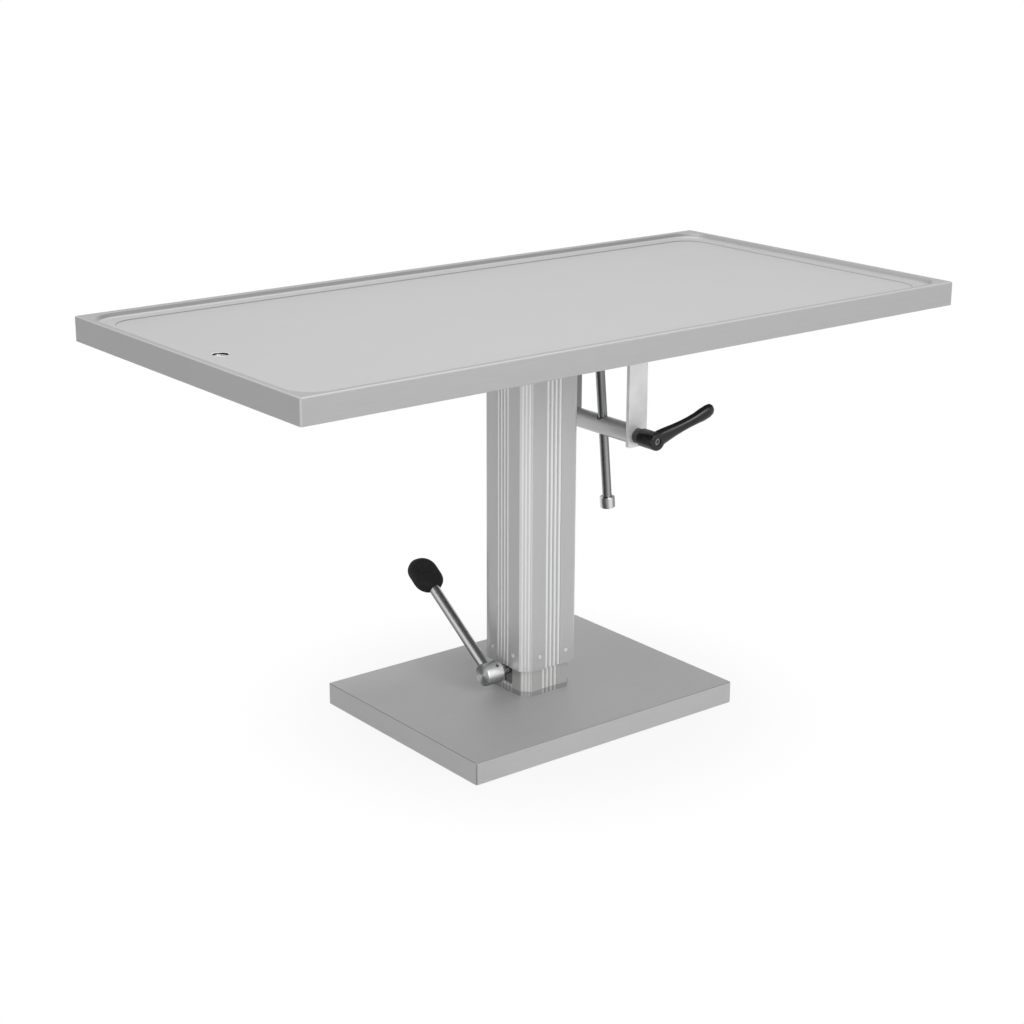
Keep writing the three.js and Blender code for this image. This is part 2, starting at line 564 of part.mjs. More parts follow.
function addFootLever(group) {
  const axis = { z: PUMP_AXIS_Z };
  const shaftStart = LEVER_HUB_END - HUB_BORE_DEPTH + CLEARANCE;
  const shaftStep = PEDESTAL_X + PEDESTAL_THICKNESS + CRANK_GAP / 2;
  const crankEnd = CRANK_X + CRANK_THICKNESS;
  const shaftRadius = SHAFT_DIAMETER / 2;
  const tailRadius = SHAFT_TAIL_DIAMETER / 2;
  const shaft = [
    [0, shaftStart], [shaftRadius, shaftStart], [shaftRadius, shaftStep],
    [tailRadius, shaftStep], [tailRadius, crankEnd], [0, crankEnd]];
  addPart(group, 'pump_shaft', turned(shaft, 'x', axis), BRIGHT_STEEL);

  const crankHub = pin(CRANK_HUB_RADIUS, CRANK_X, crankEnd, 'x', axis);
  const crankNose = pin(
    CRANK_NOSE_RADIUS, CRANK_X, crankEnd, 'x', { y: PLUNGER_Y, z: CRANK_NOSE_Z }, SMALL_STEPS);
  const webHalf = CRANK_NOSE_RADIUS * 0.6;
  const crankWeb = box([CRANK_X, crankEnd], [0, PLUNGER_Y], [CRANK_NOSE_Z - webHalf, CRANK_NOSE_Z + webHalf]);
  const crankBore = pin(tailRadius + CLEARANCE, CRANK_X - OVERCUT, crankEnd + OVERCUT, 'x', axis);
  addPart(group, 'crank_arm', cut(join(crankHub, crankNose, crankWeb), crankBore), DARK_STEEL);

  const lever = new THREE.Group();
  lever.position.z = PUMP_AXIS_Z;
  lever.rotation.x = THREE.MathUtils.degToRad(LEVER_ANGLE);
  group.add(lever);

  const hubRadius = HUB_DIAMETER / 2;
  const hubStart = LEVER_HUB_END - HUB_LENGTH;
  const leverX = LEVER_HUB_END - LEVER_INSET;
  const screwX = LEVER_HUB_END - SET_SCREW_INSET;
  const hub = turned([
    [0, hubStart], [hubRadius - HUB_EDGE, hubStart], [hubRadius, hubStart + HUB_EDGE],
    [hubRadius, LEVER_HUB_END - HUB_EDGE], [hubRadius - HUB_EDGE, LEVER_HUB_END], [0, LEVER_HUB_END]], 'x');
  const shaftBore = pin(
    shaftRadius + CLEARANCE, LEVER_HUB_END - HUB_BORE_DEPTH, LEVER_HUB_END + OVERCUT, 'x');
  const leverRadius = LEVER_DIAMETER / 2;
  const leverBore = pin(
    leverRadius + CLEARANCE, LEVER_ROOT - CLEARANCE, hubRadius + OVERCUT, 'y', { x: leverX });
  const screwRadius = SET_SCREW_DIAMETER / 2;
  const screwBore = pin(screwRadius, 0, hubRadius + OVERCUT, 'z', { x: screwX }, SMALL_STEPS);
  addPart(lever, 'lever_hub', cut(hub, shaftBore, leverBore, screwBore), BRIGHT_STEEL);

  const screwStart = shaftRadius + CLEARANCE;
  const screwEnd = screwStart + SET_SCREW_LENGTH;
  const setScrew = pin(screwRadius - CLEARANCE, screwStart, screwEnd, 'z', { x: screwX }, SMALL_STEPS);
  addPart(lever, 'hub_set_screw', setScrew, DARK_STEEL);
  addPart(lever, 'lever_rod', pin(leverRadius, LEVER_ROOT, LEVER_LENGTH, 'y', { x: leverX }), BRIGHT_STEEL);

  const padStart = LEVER_LENGTH - PAD_GRIP;
  const padCorner = PAD_CORNER_RADIUS - PAD_EDGE;
  const padShape = new THREE.Shape(roundedRing(PAD_WIDTH, PAD_LENGTH, PAD_EDGE, padCorner, 0));
  const pad = new THREE.ExtrudeGeometry(padShape, {
    depth: PAD_THICKNESS - 2 * PAD_EDGE,
    bevelThickness: PAD_EDGE,
    bevelSize: PAD_EDGE,
    bevelSegments: 4,
  });
  pad.translate(leverX, padStart + PAD_LENGTH / 2, PAD_EDGE - PAD_THICKNESS / 2);
  const padBore = pin(
    leverRadius + CLEARANCE, padStart - OVERCUT, LEVER_LENGTH + CLEARANCE, 'y', { x: leverX });
  addPart(lever, 'pedal_pad', cut(pad, padBore), BLACK_RUBBER);
}

// Plunger pressed by the crank, and its return spring

function addPlunger(group) {
  const at = { x: PLUNGER_X, y: PLUNGER_Y };
  const headBottom = PLUNGER_TOP - PLUNGER_HEAD_HEIGHT;
  const bottom = PUMP_TOP - PLUNGER_GRIP;
  addPart(group, 'pump_plunger', turned([
    [0, bottom], [PLUNGER_DIAMETER / 2, bottom], [PLUNGER_DIAMETER / 2, headBottom],
    [PLUNGER_HEAD_DIAMETER / 2, headBottom], [PLUNGER_HEAD_DIAMETER / 2, PLUNGER_TOP], [0, PLUNGER_TOP]],
  'z', at, SMALL_STEPS), BRIGHT_STEEL);

  const coilRadius = PLUNGER_DIAMETER / 2 + CLEARANCE + SPRING_WIRE / 2;
  const low = PUMP_TOP + SPRING_WIRE / 2 + CLEARANCE;
  const high = headBottom - SPRING_WIRE / 2 - CLEARANCE;
  class Helix extends THREE.Curve {
    getPoint(t, target = new THREE.Vector3()) {
      const angle = 2 * Math.PI * SPRING_TURNS * t;
      return target.set(
        at.x + coilRadius * Math.cos(angle), at.y + coilRadius * Math.sin(angle), low + (high - low) * t);
    }
  }
  const wire = new THREE.Shape();
  const wireSides = 5;
  for (let i = 0; i < wireSides; i += 1) {
    const angle = (2 * Math.PI * i) / wireSides;
    const corner = new THREE.Vector2(Math.cos(angle), Math.sin(angle)).multiplyScalar(SPRING_WIRE / 2);
    if (i === 0) wire.moveTo(corner.x, corner.y);
    else wire.lineTo(corner.x, corner.y);
  }
  const coil = new THREE.ExtrudeGeometry(wire, { steps: 8 * SPRING_TURNS, extrudePath: new Helix() });
  addPart(group, 'plunger_spring', coil, BRIGHT_STEEL);
}

// Lifting column: outer column with its glides, head, ram and side plates

function addLift(group) {
  const studZ = OUTER_BOTTOM + GLIDE_LIFT + GLIDE_HEIGHT / 2;
  const studRadius = GLIDE_STUD_DIAMETER / 2;
  const studEnd = OUTER_HALF + GLIDE_STUD_PROUD;
  const screwZ = HEAD_BOTTOM - HEAD_SCREW_DROP;
  const studX = GLIDE_STUD_SPREAD / 2;
  const studRoot = OVERCUT - CAVITY.half;
  const studProfile = [
    [0, -studEnd], [studRadius - GLIDE_STUD_EDGE, -studEnd], [studRadius, GLIDE_STUD_EDGE - studEnd],
    [studRadius, studRoot], [0, studRoot]];

  const outline = columnOutline(OUTER_HALF, OUTER_CHAMFER, true);
  const cavity = columnOutline(CAVITY.half, CAVITY.chamfer, false);
  const tube = prism(outline, [OUTER_BOTTOM, HEAD_BOTTOM], [cavity]);
  const wallHole = (radius, at) =>
    pin(radius + CLEARANCE, -OUTER_HALF - OVERCUT, studRoot, 'y', at, SMALL_STEPS);
  const openings = FACES.flatMap((face, quarter) => [
    ...SIDES.map((side) => wallHole(studRadius, { x: side * studX, z: studZ })),
    wallHole(SCREW_DIAMETER / 2, { x: studX, z: screwZ }),
  ].map((tool) => quarterTurn(tool, quarter)));
  addPart(group, 'outer_column', cut(tube, ...openings), ALUMINIUM);

  FACES.forEach((face, quarter) => {
    const pad = box(
      [-GLIDE_WIDTH / 2, GLIDE_WIDTH / 2], [-CAVITY.half, -INNER_HALF - CLEARANCE],
      [OUTER_BOTTOM + GLIDE_LIFT, OUTER_BOTTOM + GLIDE_LIFT + GLIDE_HEIGHT]);
    const studs = SIDES.map((side) => quarterTurn(
      turned(studProfile, 'y', { x: side * studX, z: studZ }, SMALL_STEPS), quarter));
    addPart(group, `glide_pad_${face}`, join(quarterTurn(pad, quarter), ...studs), WHITE_PLASTIC);
  });

  const plug = insetSquare(CAVITY.half, CAVITY.chamfer, CLEARANCE);
  const headX = OUTER_HALF + HEAD_OVERHANG;
  const plate = box([-headX, headX], [-HEAD_HALF, HEAD_HALF], [HEAD_BOTTOM, HEAD_TOP]);
  const plugOutline = columnOutline(plug.half, plug.chamfer, false);
  const plugBlock = prism(plugOutline, [PLUG_BOTTOM, HEAD_BOTTOM + OVERCUT]);
  const plateScrewZ = (HEAD_BOTTOM + HEAD_TOP) / 2;
  const plateScrewX = PLATE_SCREW_SPREAD / 2;
  const screwBore = SCREW_DIAMETER / 2 + CLEARANCE;
  const plateScrewBore = (x, from, to) => pin(screwBore, from, to, 'y', { x, z: plateScrewZ }, SMALL_STEPS);
  const boreDepth = SCREW_LENGTH + CLEARANCE;
  const headBores = [
    pin(RAM_BOLT_DIAMETER / 2 + CLEARANCE, PLUG_BOTTOM - OVERCUT, HEAD_TOP + OVERCUT),
    ...SIDES.flatMap((side) => [
      plateScrewBore(side * plateScrewX, -HEAD_HALF - OVERCUT, boreDepth - PLATE_OUTER),
      plateScrewBore(side * plateScrewX, PLATE_OUTER - boreDepth, HEAD_HALF + OVERCUT)]),
    ...FACES.map((face, quarter) => {
      const at = { x: studX, z: screwZ };
      return quarterTurn(pin(screwBore, -OUTER_HALF, boreDepth - OUTER_HALF, 'y', at, SMALL_STEPS), quarter);
    }),
  ];
  addPart(group, 'column_head', cut(join(plate, plugBlock), ...headBores), ALUMINIUM);

  const screw = (face, x, z) => turned([
    [0, -face - SCREW_HEAD_HEIGHT], [SCREW_HEAD_DIAMETER / 2 - SCREW_HEAD_EDGE, -face - SCREW_HEAD_HEIGHT],
    [SCREW_HEAD_DIAMETER / 2, SCREW_HEAD_EDGE - face - SCREW_HEAD_HEIGHT],
    [SCREW_HEAD_DIAMETER / 2, -face], [SCREW_DIAMETER / 2, -face],
    [SCREW_DIAMETER / 2, SCREW_LENGTH - face], [0, SCREW_LENGTH - face]], 'y', { x, z }, SMALL_STEPS);
  FACES.forEach((face, quarter) => {
    addPart(group, `head_screw_${face}`, quarterTurn(screw(OUTER_HALF, studX, screwZ), quarter), DARK_STEEL);
  });

  const ramRadius = RAM_DIAMETER / 2;
  const pistonRadius = CYLINDER_BORE / 2 - CLEARANCE;
  const tapRadius = RAM_BOLT_DIAMETER / 2 + CLEARANCE;
  const boltEnd = PLUG_BOTTOM - RAM_BOLT_LENGTH;
  const pistonTop = RAM_BOTTOM + PISTON_HEIGHT;
  addPart(group, 'lift_ram', turned([
    [0, RAM_BOTTOM], [pistonRadius, RAM_BOTTOM], [pistonRadius, pistonTop], [ramRadius, pistonTop],
    [ramRadius, PLUG_BOTTOM], [tapRadius, PLUG_BOTTOM], [tapRadius, boltEnd - CLEARANCE],
    [0, boltEnd - CLEARANCE]]), BRIGHT_STEEL);
  const boltTop = HEAD_TOP + RAM_BOLT_HEAD_HEIGHT;
  const boltRadius = RAM_BOLT_DIAMETER / 2;
  const boltHead = RAM_BOLT_HEAD_DIAMETER / 2;
  addPart(group, 'ram_bolt', turned([
    [0, boltEnd], [boltRadius, boltEnd], [boltRadius, HEAD_TOP],
    [boltHead, HEAD_TOP], [boltHead, boltTop], [0, boltTop]]), DARK_STEEL);

  const bushBore = BUSH_RADIUS + CLEARANCE;
  const journalBore = BAR_JOURNAL_DIAMETER / 2 + CLEARANCE;
  SIDES.forEach((side) => {
    const name = side < 0 ? 'front' : 'back';
    const span = side < 0 ? [-PLATE_OUTER, -HEAD_HALF] : [HEAD_HALF, PLATE_OUTER];
    const [from, to] = [span[0] - OVERCUT, span[1] + OVERCUT];
    const sidePlate = cut(
      uprightPlate(sidePlateShape(), span),
      pin(bushBore, from, to, 'y', { z: TILT_Z }),
      pin(journalBore, from, to, 'y', { x: BAR_X, z: BAR_Z }),
      ...SIDES.map((end) => plateScrewBore(end * plateScrewX, from, to)));
    addPart(group, `side_plate_${name}`, sidePlate, LIGHT_PLATE);

    SIDES.forEach((end) => {
      const plateScrew = screw(PLATE_OUTER, -side * end * plateScrewX, plateScrewZ);
      const turn = side < 0 ? 0 : 2; // half a turn carries a front screw to the back
      const screwName = `plate_screw_${name}_${end < 0 ? 'left' : 'right'}`;
      addPart(group, screwName, quarterTurn(plateScrew, turn), DARK_STEEL);
    });

    const shaftBore = TILT_SHAFT_DIAMETER / 2 + CLEARANCE;
    const flangeRadius = BUSH_RADIUS + BUSH_FLANGE;
    const flangeFace = HEAD_HALF - BUSH_FLANGE_THICKNESS;
    const bush = [
      [shaftBore, flangeFace], [flangeRadius, flangeFace], [flangeRadius, HEAD_HALF],
      [BUSH_RADIUS, HEAD_HALF], [BUSH_RADIUS, PLATE_OUTER], [shaftBore, PLATE_OUTER],
    ].map(([radius, along]) => [radius, side * along]);
    addPart(group, `tilt_bush_${name}`, turned(bush, 'y', { z: TILT_Z }), WHITE_PLASTIC);
  });
}

// Side plate: an arm along the column head that carries the tilt axis, and a leg that carries the cross bar.
function sidePlateShape() {
  const right = BAR_X + PLATE_LEG_WIDTH / 2;
  const left = BAR_X - PLATE_LEG_WIDTH / 2;
  const bottom = BAR_Z - PLATE_FOOT;
  const top = TILT_Z + PLATE_RISE;
  const radius = PLATE_CORNER_RADIUS;
  const shape = new THREE.Shape();
  shape.moveTo(-PLATE_BACK, HEAD_BOTTOM);
  shape.lineTo(left, HEAD_BOTTOM);
  shape.lineTo(left, bottom + radius);
  shape.absarc(left + radius, bottom + radius, radius, Math.PI, 1.5 * Math.PI);
  shape.absarc(right - radius, bottom + radius, radius, 1.5 * Math.PI, 2 * Math.PI);
  shape.absarc(right - PLATE_RISE, top - PLATE_RISE, PLATE_RISE, 0, Math.PI / 2);
  shape.absarc(PLATE_RISE - PLATE_BACK, top - PLATE_RISE, PLATE_RISE, Math.PI / 2, Math.PI);
  shape.closePath();
  return shape;
}

// Tilt lock: cross bar in the side plates, rod hung under the top, clamp lever

function addCrossBar(group) {
  const bar = new THREE.Group();
  bar.position.set(BAR_X, 0, BAR_Z);
  bar.rotation.y = -ROD_LEAN;
  group.add(bar);

  const radius = BAR_DIAMETER / 2;
  const journal = BAR_JOURNAL_DIAMETER / 2;
  const shoulder = HEAD_HALF - CLEARANCE;
  const retainerStart = PLATE_OUTER + CLEARANCE;
  const backEnd = retainerStart + BAR_RETAINER_WIDTH;
  const body = turned([
    [0, -PLATE_OUTER], [journal, -PLATE_OUTER], [journal, -shoulder], [radius, -shoulder], [radius, shoulder],
    [journal, shoulder], [journal, backEnd], [0, backEnd]], 'y');
  const halfRod = ROD_DIAMETER / 2 + ROD_SIDE_PLAY;
  const reach = ROD_SLIP - ROD_SIDE_PLAY;
  const slot = new THREE.Shape();
  slot.absarc(reach, 0, halfRod, -Math.PI / 2, Math.PI / 2);
  slot.absarc(-reach, 0, halfRod, Math.PI / 2, 1.5 * Math.PI);
  slot.closePath();
  const slotCut = extruded(slot, 2 * BAR_DIAMETER).translate(0, 0, -BAR_DIAMETER);
  const studBore = pin(CLAMP_STUD_DIAMETER / 2 + CLEARANCE, -PLATE_OUTER - OVERCUT, 0, 'y');
  addPart(bar, 'cross_bar', cut(body, slotCut, studBore), ALUMINIUM);
  const retainer = ring(BAR_RETAINER_DIAMETER / 2, journal + CLEARANCE, retainerStart, backEnd, 'y');
  addPart(bar, 'bar_retainer', retainer, DARK_STEEL);
}

function addTiltRod(group) {
  const rod = new THREE.Group();
  rod.position.set(ROD_PIVOT_X, 0, ROD_PIVOT_Z);
  rod.rotation.y = -ROD_LEAN;
  group.add(rod);

  const radius = ROD_DIAMETER / 2;
  const nutTop = ROD_NUT_LENGTH - ROD_LENGTH;
  const nutFloor = ROD_NUT_FLOOR - ROD_LENGTH;
  const eye = pin(ROD_EYE_DIAMETER / 2, -ROD_EYE_WIDTH / 2, ROD_EYE_WIDTH / 2, 'y');
  const shank = pin(radius, nutFloor + CLEARANCE, -ROD_PIN_DIAMETER / 2, 'z');
  const pinBore = pin(ROD_PIN_DIAMETER / 2 + CLEARANCE, -ROD_EYE_WIDTH, ROD_EYE_WIDTH, 'y');
  addPart(rod, 'tilt_rod', cut(join(eye, shank), pinBore), BRIGHT_STEEL);

  const nutRadius = ROD_NUT_DIAMETER / 2;
  const nutEdge = nutRadius - ROD_NUT_EDGE;
  const nutBore = radius + CLEARANCE;
  addPart(rod, 'rod_end_nut', turned([
    [0, -ROD_LENGTH], [nutEdge, -ROD_LENGTH], [nutRadius, ROD_NUT_EDGE - ROD_LENGTH],
    [nutRadius, nutTop - ROD_NUT_EDGE], [nutEdge, nutTop],
    [nutBore, nutTop], [nutBore, nutFloor], [0, nutFloor]]), BRIGHT_STEEL);
}

function addClamp(group) {
  const clamp = new THREE.Group();
  clamp.position.set(BAR_X, 0, BAR_Z);
  clamp.rotation.y = -THREE.MathUtils.degToRad(CLAMP_ANGLE);
  group.add(clamp);

  const studTip = ROD_DIAMETER / 2 + CLAMP_STUD_GAP;
  const tapRadius = CLAMP_SCREW_DIAMETER / 2 + CLEARANCE;
  const tapEnd = SPLINE_END - CLAMP_SCREW_DEPTH;
  const collarRadius = CLAMP_COLLAR_DIAMETER / 2;
  const splineRadius = CLAMP_SPLINE_DIAMETER / 2;
  const studRadius = CLAMP_STUD_DIAMETER / 2;
  addPart(clamp, 'clamp_insert', turned([
    [0, CLEARANCE - tapEnd], [tapRadius, CLEARANCE - tapEnd], [tapRadius, -SPLINE_END],
    [splineRadius, -SPLINE_END], [splineRadius, -SPLINE_ROOT],
    [collarRadius, -SPLINE_ROOT], [collarRadius, -COLLAR_BACK],
    [studRadius, -COLLAR_BACK], [studRadius, -studTip], [0, -studTip]], 'y'), DARK_STEEL);

  const screwFace = HUB_FACE - CLAMP_SCREW_RECESS;
  const headRadius = CLAMP_SCREW_HEAD_DIAMETER / 2;
  const shankRadius = CLAMP_SCREW_DIAMETER / 2;
  const screw = turned([
    [0, -screwFace], [headRadius, -screwFace], [headRadius, -SCREW_SEAT],
    [shankRadius, -SCREW_SEAT], [shankRadius, -tapEnd], [0, -tapEnd]], 'y');
  const socket = pin(CLAMP_SOCKET / 2, -screwFace - OVERCUT, CLAMP_SOCKET_DEPTH - screwFace, 'y', {}, HEX);
  addPart(clamp, 'clamp_screw', cut(screw, socket), DARK_STEEL);

  const hubRadius = CLAMP_HUB_DIAMETER / 2;
  const hub = turned([
    [0, -HUB_FACE], [hubRadius - CLAMP_HUB_EDGE, -HUB_FACE], [hubRadius, CLAMP_HUB_EDGE - HUB_FACE],
    [hubRadius, -HUB_ROOT], [0, -HUB_ROOT]], 'y');
  const splineBore = pin(splineRadius + CLEARANCE, -SPLINE_END - CLEARANCE, OVERCUT - HUB_ROOT, 'y');
  const screwHole = pin(tapRadius, -WEB_FACE - OVERCUT, -SPLINE_END, 'y', {}, SMALL_STEPS);
  const headHole = pin(headRadius + CLEARANCE, -HUB_FACE - OVERCUT, -WEB_FACE, 'y');
  addPart(clamp, 'clamp_handle', cut(join(hub, clampArm()), splineBore, screwHole, headHole), BLACK_PLASTIC);
}

// Arm of the clamp handle along +X: oval sections that narrow and swell again at the tip.
function clampArm() {
  const hubRadius = CLAMP_HUB_DIAMETER / 2;
  const stations = [ // share of the length, height and thickness as shares of the hub's radius
    [0, 0.95, 0.6], [0.1, 0.93, 0.6], [0.2, 0.84, 0.57], [0.32, 0.72, 0.54], [0.45, 0.64, 0.52],
    [0.58, 0.61, 0.51], [0.7, 0.63, 0.52], [0.82, 0.67, 0.53], [0.91, 0.66, 0.51], [0.96, 0.58, 0.44],
    [0.99, 0.4, 0.3], [1, 0.18, 0.13]];
  const rootY = -(HUB_FACE - CLAMP_HUB_LENGTH / 4);
  return loft(stations.map(([share, height, thickness]) => {
    const points = [];
    const middleY = rootY - CLAMP_ARM_RISE * THREE.MathUtils.smoothstep(share, 0, 1);
    for (let i = 0; i < SMALL_STEPS; i += 1) {
      const angle = (2 * Math.PI * i) / SMALL_STEPS;
      points.push(new THREE.Vector3(
        share * CLAMP_ARM_LENGTH,
        middleY + thickness * hubRadius * Math.cos(angle),
        height * hubRadius * Math.sin(angle)));
    }
    return points;
  }));
}

// Tilting top: pressed pan, drain, hinge rails, rod bracket and tilt shaft

function addTop(group) {
  const panelInset = RIM_LEDGE + COVE_RUN + GUTTER_WIDTH;
  const cornerAt = (inset) => Math.max(TOP_CORNER_RADIUS - inset, SHEET);
  const cove = (drop, shift) => {
    const profile = [];
    for (let step = 0; step <= COVE_STEPS; step += 1) {
      const share = step / COVE_STEPS;
      const z = TOP_HEIGHT - drop - TRAY_DEPTH * (1 - Math.cos(Math.PI * share)) / 2;
      profile.push([RIM_LEDGE - shift + COVE_RUN * share, z, TRAY_CORNER_RADIUS]);
    }
    return profile;
  };
  const outside = [
    ...roundedEdge(TOP_EDGE_RADIUS, TOP_HEIGHT),
    [0, APRON_BOTTOM],
    [HEM_WIDTH, APRON_BOTTOM],
    [HEM_WIDTH, APRON_BOTTOM + SHEET],
    [SHEET, APRON_BOTTOM + SHEET],
    [SHEET, TOP_HEIGHT - SHEET],
  ].map(([inset, z]) => [inset, z, cornerAt(inset)]);
  const rings = [
    [panelInset + PANEL_STEP_RUN, PANEL_Z, TRAY_CORNER_RADIUS],
    [panelInset, GUTTER_Z, TRAY_CORNER_RADIUS],
    ...cove(0, 0).reverse(),
    ...outside,
    ...cove(SHEET, SHEET),
    [panelInset, GUTTER_Z - SHEET, TRAY_CORNER_RADIUS],
    [panelInset + PANEL_STEP_RUN, PANEL_UNDER, TRAY_CORNER_RADIUS],
  ];
  const pan = loft(rings.map(([inset, z, radius]) => roundedRing(TOP_LENGTH, TOP_WIDTH, inset, radius, z)));
  const drainAt = { x: DRAIN_X };
  const drainRadius = DRAIN_DIAMETER / 2;
  const drainHole = pin(drainRadius + CLEARANCE, PANEL_UNDER - OVERCUT, PANEL_Z + OVERCUT, 'z', drainAt);
  addPart(group, 'table_pan', cut(pan, drainHole), STAINLESS);

  const boreRadius = DRAIN_BORE / 2;
  const tailRadius = boreRadius + SHEET;
  const flangeBottom = PANEL_UNDER - DRAIN_FLANGE_THICKNESS;
  const tailBottom = flangeBottom - DRAIN_TAIL;
  addPart(group, 'drain_fitting', turned([
    [boreRadius, tailBottom], [tailRadius, tailBottom], [tailRadius, flangeBottom],
    [DRAIN_FLANGE / 2, flangeBottom], [DRAIN_FLANGE / 2, PANEL_UNDER], [drainRadius, PANEL_UNDER],
    [drainRadius, PANEL_Z], [drainRadius - DRAIN_LIP, PANEL_Z], [boreRadius, flangeBottom]],
  'z', drainAt), BRIGHT_STEEL);
  const nut = pin(DRAIN_NUT_DIAMETER / 2, flangeBottom - DRAIN_NUT_HEIGHT, flangeBottom, 'z', drainAt, HEX);
  const nutBore = pin(tailRadius + CLEARANCE, tailBottom, PANEL_UNDER, 'z', drainAt);
  addPart(group, 'drain_nut', cut(nut, nutBore), BRIGHT_STEEL);

  const halfRail = RAIL_LENGTH / 2;
  SIDES.forEach((side) => {
    const y = side * RAIL_Y;
    const tube = cut(
      box([-halfRail, halfRail], [y - RAIL_WIDTH / 2, y + RAIL_WIDTH / 2], [RAIL_BOTTOM, PANEL_UNDER]),
      box(
        [-halfRail - OVERCUT, halfRail + OVERCUT],
        [y - RAIL_WIDTH / 2 + RAIL_WALL, y + RAIL_WIDTH / 2 - RAIL_WALL],
        [RAIL_BOTTOM + RAIL_WALL, PANEL_UNDER - RAIL_WALL]));
    const lug = lugPlate(0, TILT_Z, LUG_RADIUS, LUG_WIDTH, [y - LUG_THICKNESS / 2, y + LUG_THICKNESS / 2]);
    const bore = pin(
      TILT_SHAFT_DIAMETER / 2 + CLEARANCE, y - LUG_THICKNESS, y + LUG_THICKNESS, 'y', { z: TILT_Z });
    addPart(group, `hinge_rail_${side < 0 ? 'front' : 'back'}`, cut(join(tube, lug), bore), STAINLESS);
  });
  const shaftEnd = PLATE_OUTER + TILT_SHAFT_PROUD;
  const tiltShaft = pin(TILT_SHAFT_DIAMETER / 2, -shaftEnd, shaftEnd, 'y', { z: TILT_Z });
  addPart(group, 'tilt_shaft', tiltShaft, BRIGHT_STEEL);

  const pivot = { x: ROD_PIVOT_X, z: ROD_PIVOT_Z };
  const memberEnd = RAIL_Y - RAIL_WIDTH / 2;
  const lugInner = ROD_EYE_WIDTH / 2 + ROD_SIDE_PLAY;
  const lugOuter = lugInner + ROD_LUG_THICKNESS;
  const halfMember = ROD_MEMBER_WIDTH / 2;
  const member = box(
    [ROD_PIVOT_X - halfMember, ROD_PIVOT_X + halfMember],
    [-memberEnd, memberEnd],
    [RAIL_BOTTOM, PANEL_UNDER]);
  const rodLugs = [[-lugOuter, -lugInner], [lugInner, lugOuter]].map((span) =>
    lugPlate(ROD_PIVOT_X, ROD_PIVOT_Z, ROD_LUG_RADIUS, ROD_MEMBER_WIDTH, span));
  const pinRadius = ROD_PIN_DIAMETER / 2;
  const pinBore = pin(pinRadius + CLEARANCE, -lugOuter - OVERCUT, lugOuter + OVERCUT, 'y', pivot);
  addPart(group, 'rod_bracket', cut(join(member, ...rodLugs), pinBore), STAINLESS);
  const pinHead = pinRadius + ROD_PIN_HEAD;
  const pinEnd = lugOuter + ROD_PIN_HEAD;
  addPart(group, 'rod_pivot_pin', turned([
    [0, -pinEnd], [pinHead, -pinEnd], [pinHead, -lugOuter],
    [pinRadius, -lugOuter], [pinRadius, pinEnd], [0, pinEnd]], 'y', pivot), BRIGHT_STEEL);
}

// A lug hanging from the rails' lower face, round about its pivot at (x, z) and wide at its root.
function lugPlate(x, z, radius, width, span) {
  const root = RAIL_BOTTOM + RAIL_WALL / 2;
  const shape = new THREE.Shape();
  shape.moveTo(x - width / 2, root);
  shape.absarc(x, z, radius, Math.PI, 2 * Math.PI);
  shape.lineTo(x + width / 2, root);
  shape.closePath();
  return uprightPlate(shape, span);
}

const table = new THREE.Group();
[addBase, addHydraulics, addFootLever, addPlunger, addLift, addCrossBar, addTiltRod, addClamp, addTop]
  .forEach((addAssembly) => addAssembly(table));

export default table;
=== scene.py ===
"""Veterinary exam table: looks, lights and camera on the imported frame. Metres, +Z up."""

import json
import math

import bmesh
import bpy
from mathutils import Matrix, Vector


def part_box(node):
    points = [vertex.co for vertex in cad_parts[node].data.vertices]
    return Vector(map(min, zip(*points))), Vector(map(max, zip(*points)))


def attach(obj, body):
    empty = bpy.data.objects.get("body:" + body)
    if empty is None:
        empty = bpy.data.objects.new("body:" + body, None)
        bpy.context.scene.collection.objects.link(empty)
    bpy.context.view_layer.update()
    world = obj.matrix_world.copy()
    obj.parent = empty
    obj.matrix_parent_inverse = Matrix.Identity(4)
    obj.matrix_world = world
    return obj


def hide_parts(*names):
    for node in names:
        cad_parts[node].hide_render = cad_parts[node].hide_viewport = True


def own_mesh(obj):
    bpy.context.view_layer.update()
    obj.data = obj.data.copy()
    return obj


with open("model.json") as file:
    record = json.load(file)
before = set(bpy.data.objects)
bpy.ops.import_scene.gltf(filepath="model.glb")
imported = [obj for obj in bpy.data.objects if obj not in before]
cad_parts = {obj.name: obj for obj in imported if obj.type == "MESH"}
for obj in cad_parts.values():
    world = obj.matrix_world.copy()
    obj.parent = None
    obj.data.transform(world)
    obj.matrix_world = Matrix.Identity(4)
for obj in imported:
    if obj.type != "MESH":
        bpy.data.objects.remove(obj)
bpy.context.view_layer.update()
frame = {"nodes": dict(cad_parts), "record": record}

# Camera, fitted to the corners of the top and the base
CAMERA_PLACE = Vector((-2.0265, -2.5259, 1.3710))
CAMERA_AZIMUTH = math.radians(-38.174)
CAMERA_ELEVATION = math.radians(17.556)
CAMERA_ROLL = math.radians(0.146)
CAMERA_LENS = 71.385
CAMERA_REACH = 50
SENSOR = 36.0

# Finishing of the solids: edge rounding and the angle below which faces shade smoothly
SMOOTH_ANGLE = math.radians(45)
FINE_EDGE = 0.0003
SOFT_EDGE = 0.0007
EDGE_SEGMENTS = 2
WELD_REACH = 0.00001
SOFT_NODES = {"table_pan", "base_cover", "side_plate_front", "side_plate_back", "lever_hub"}

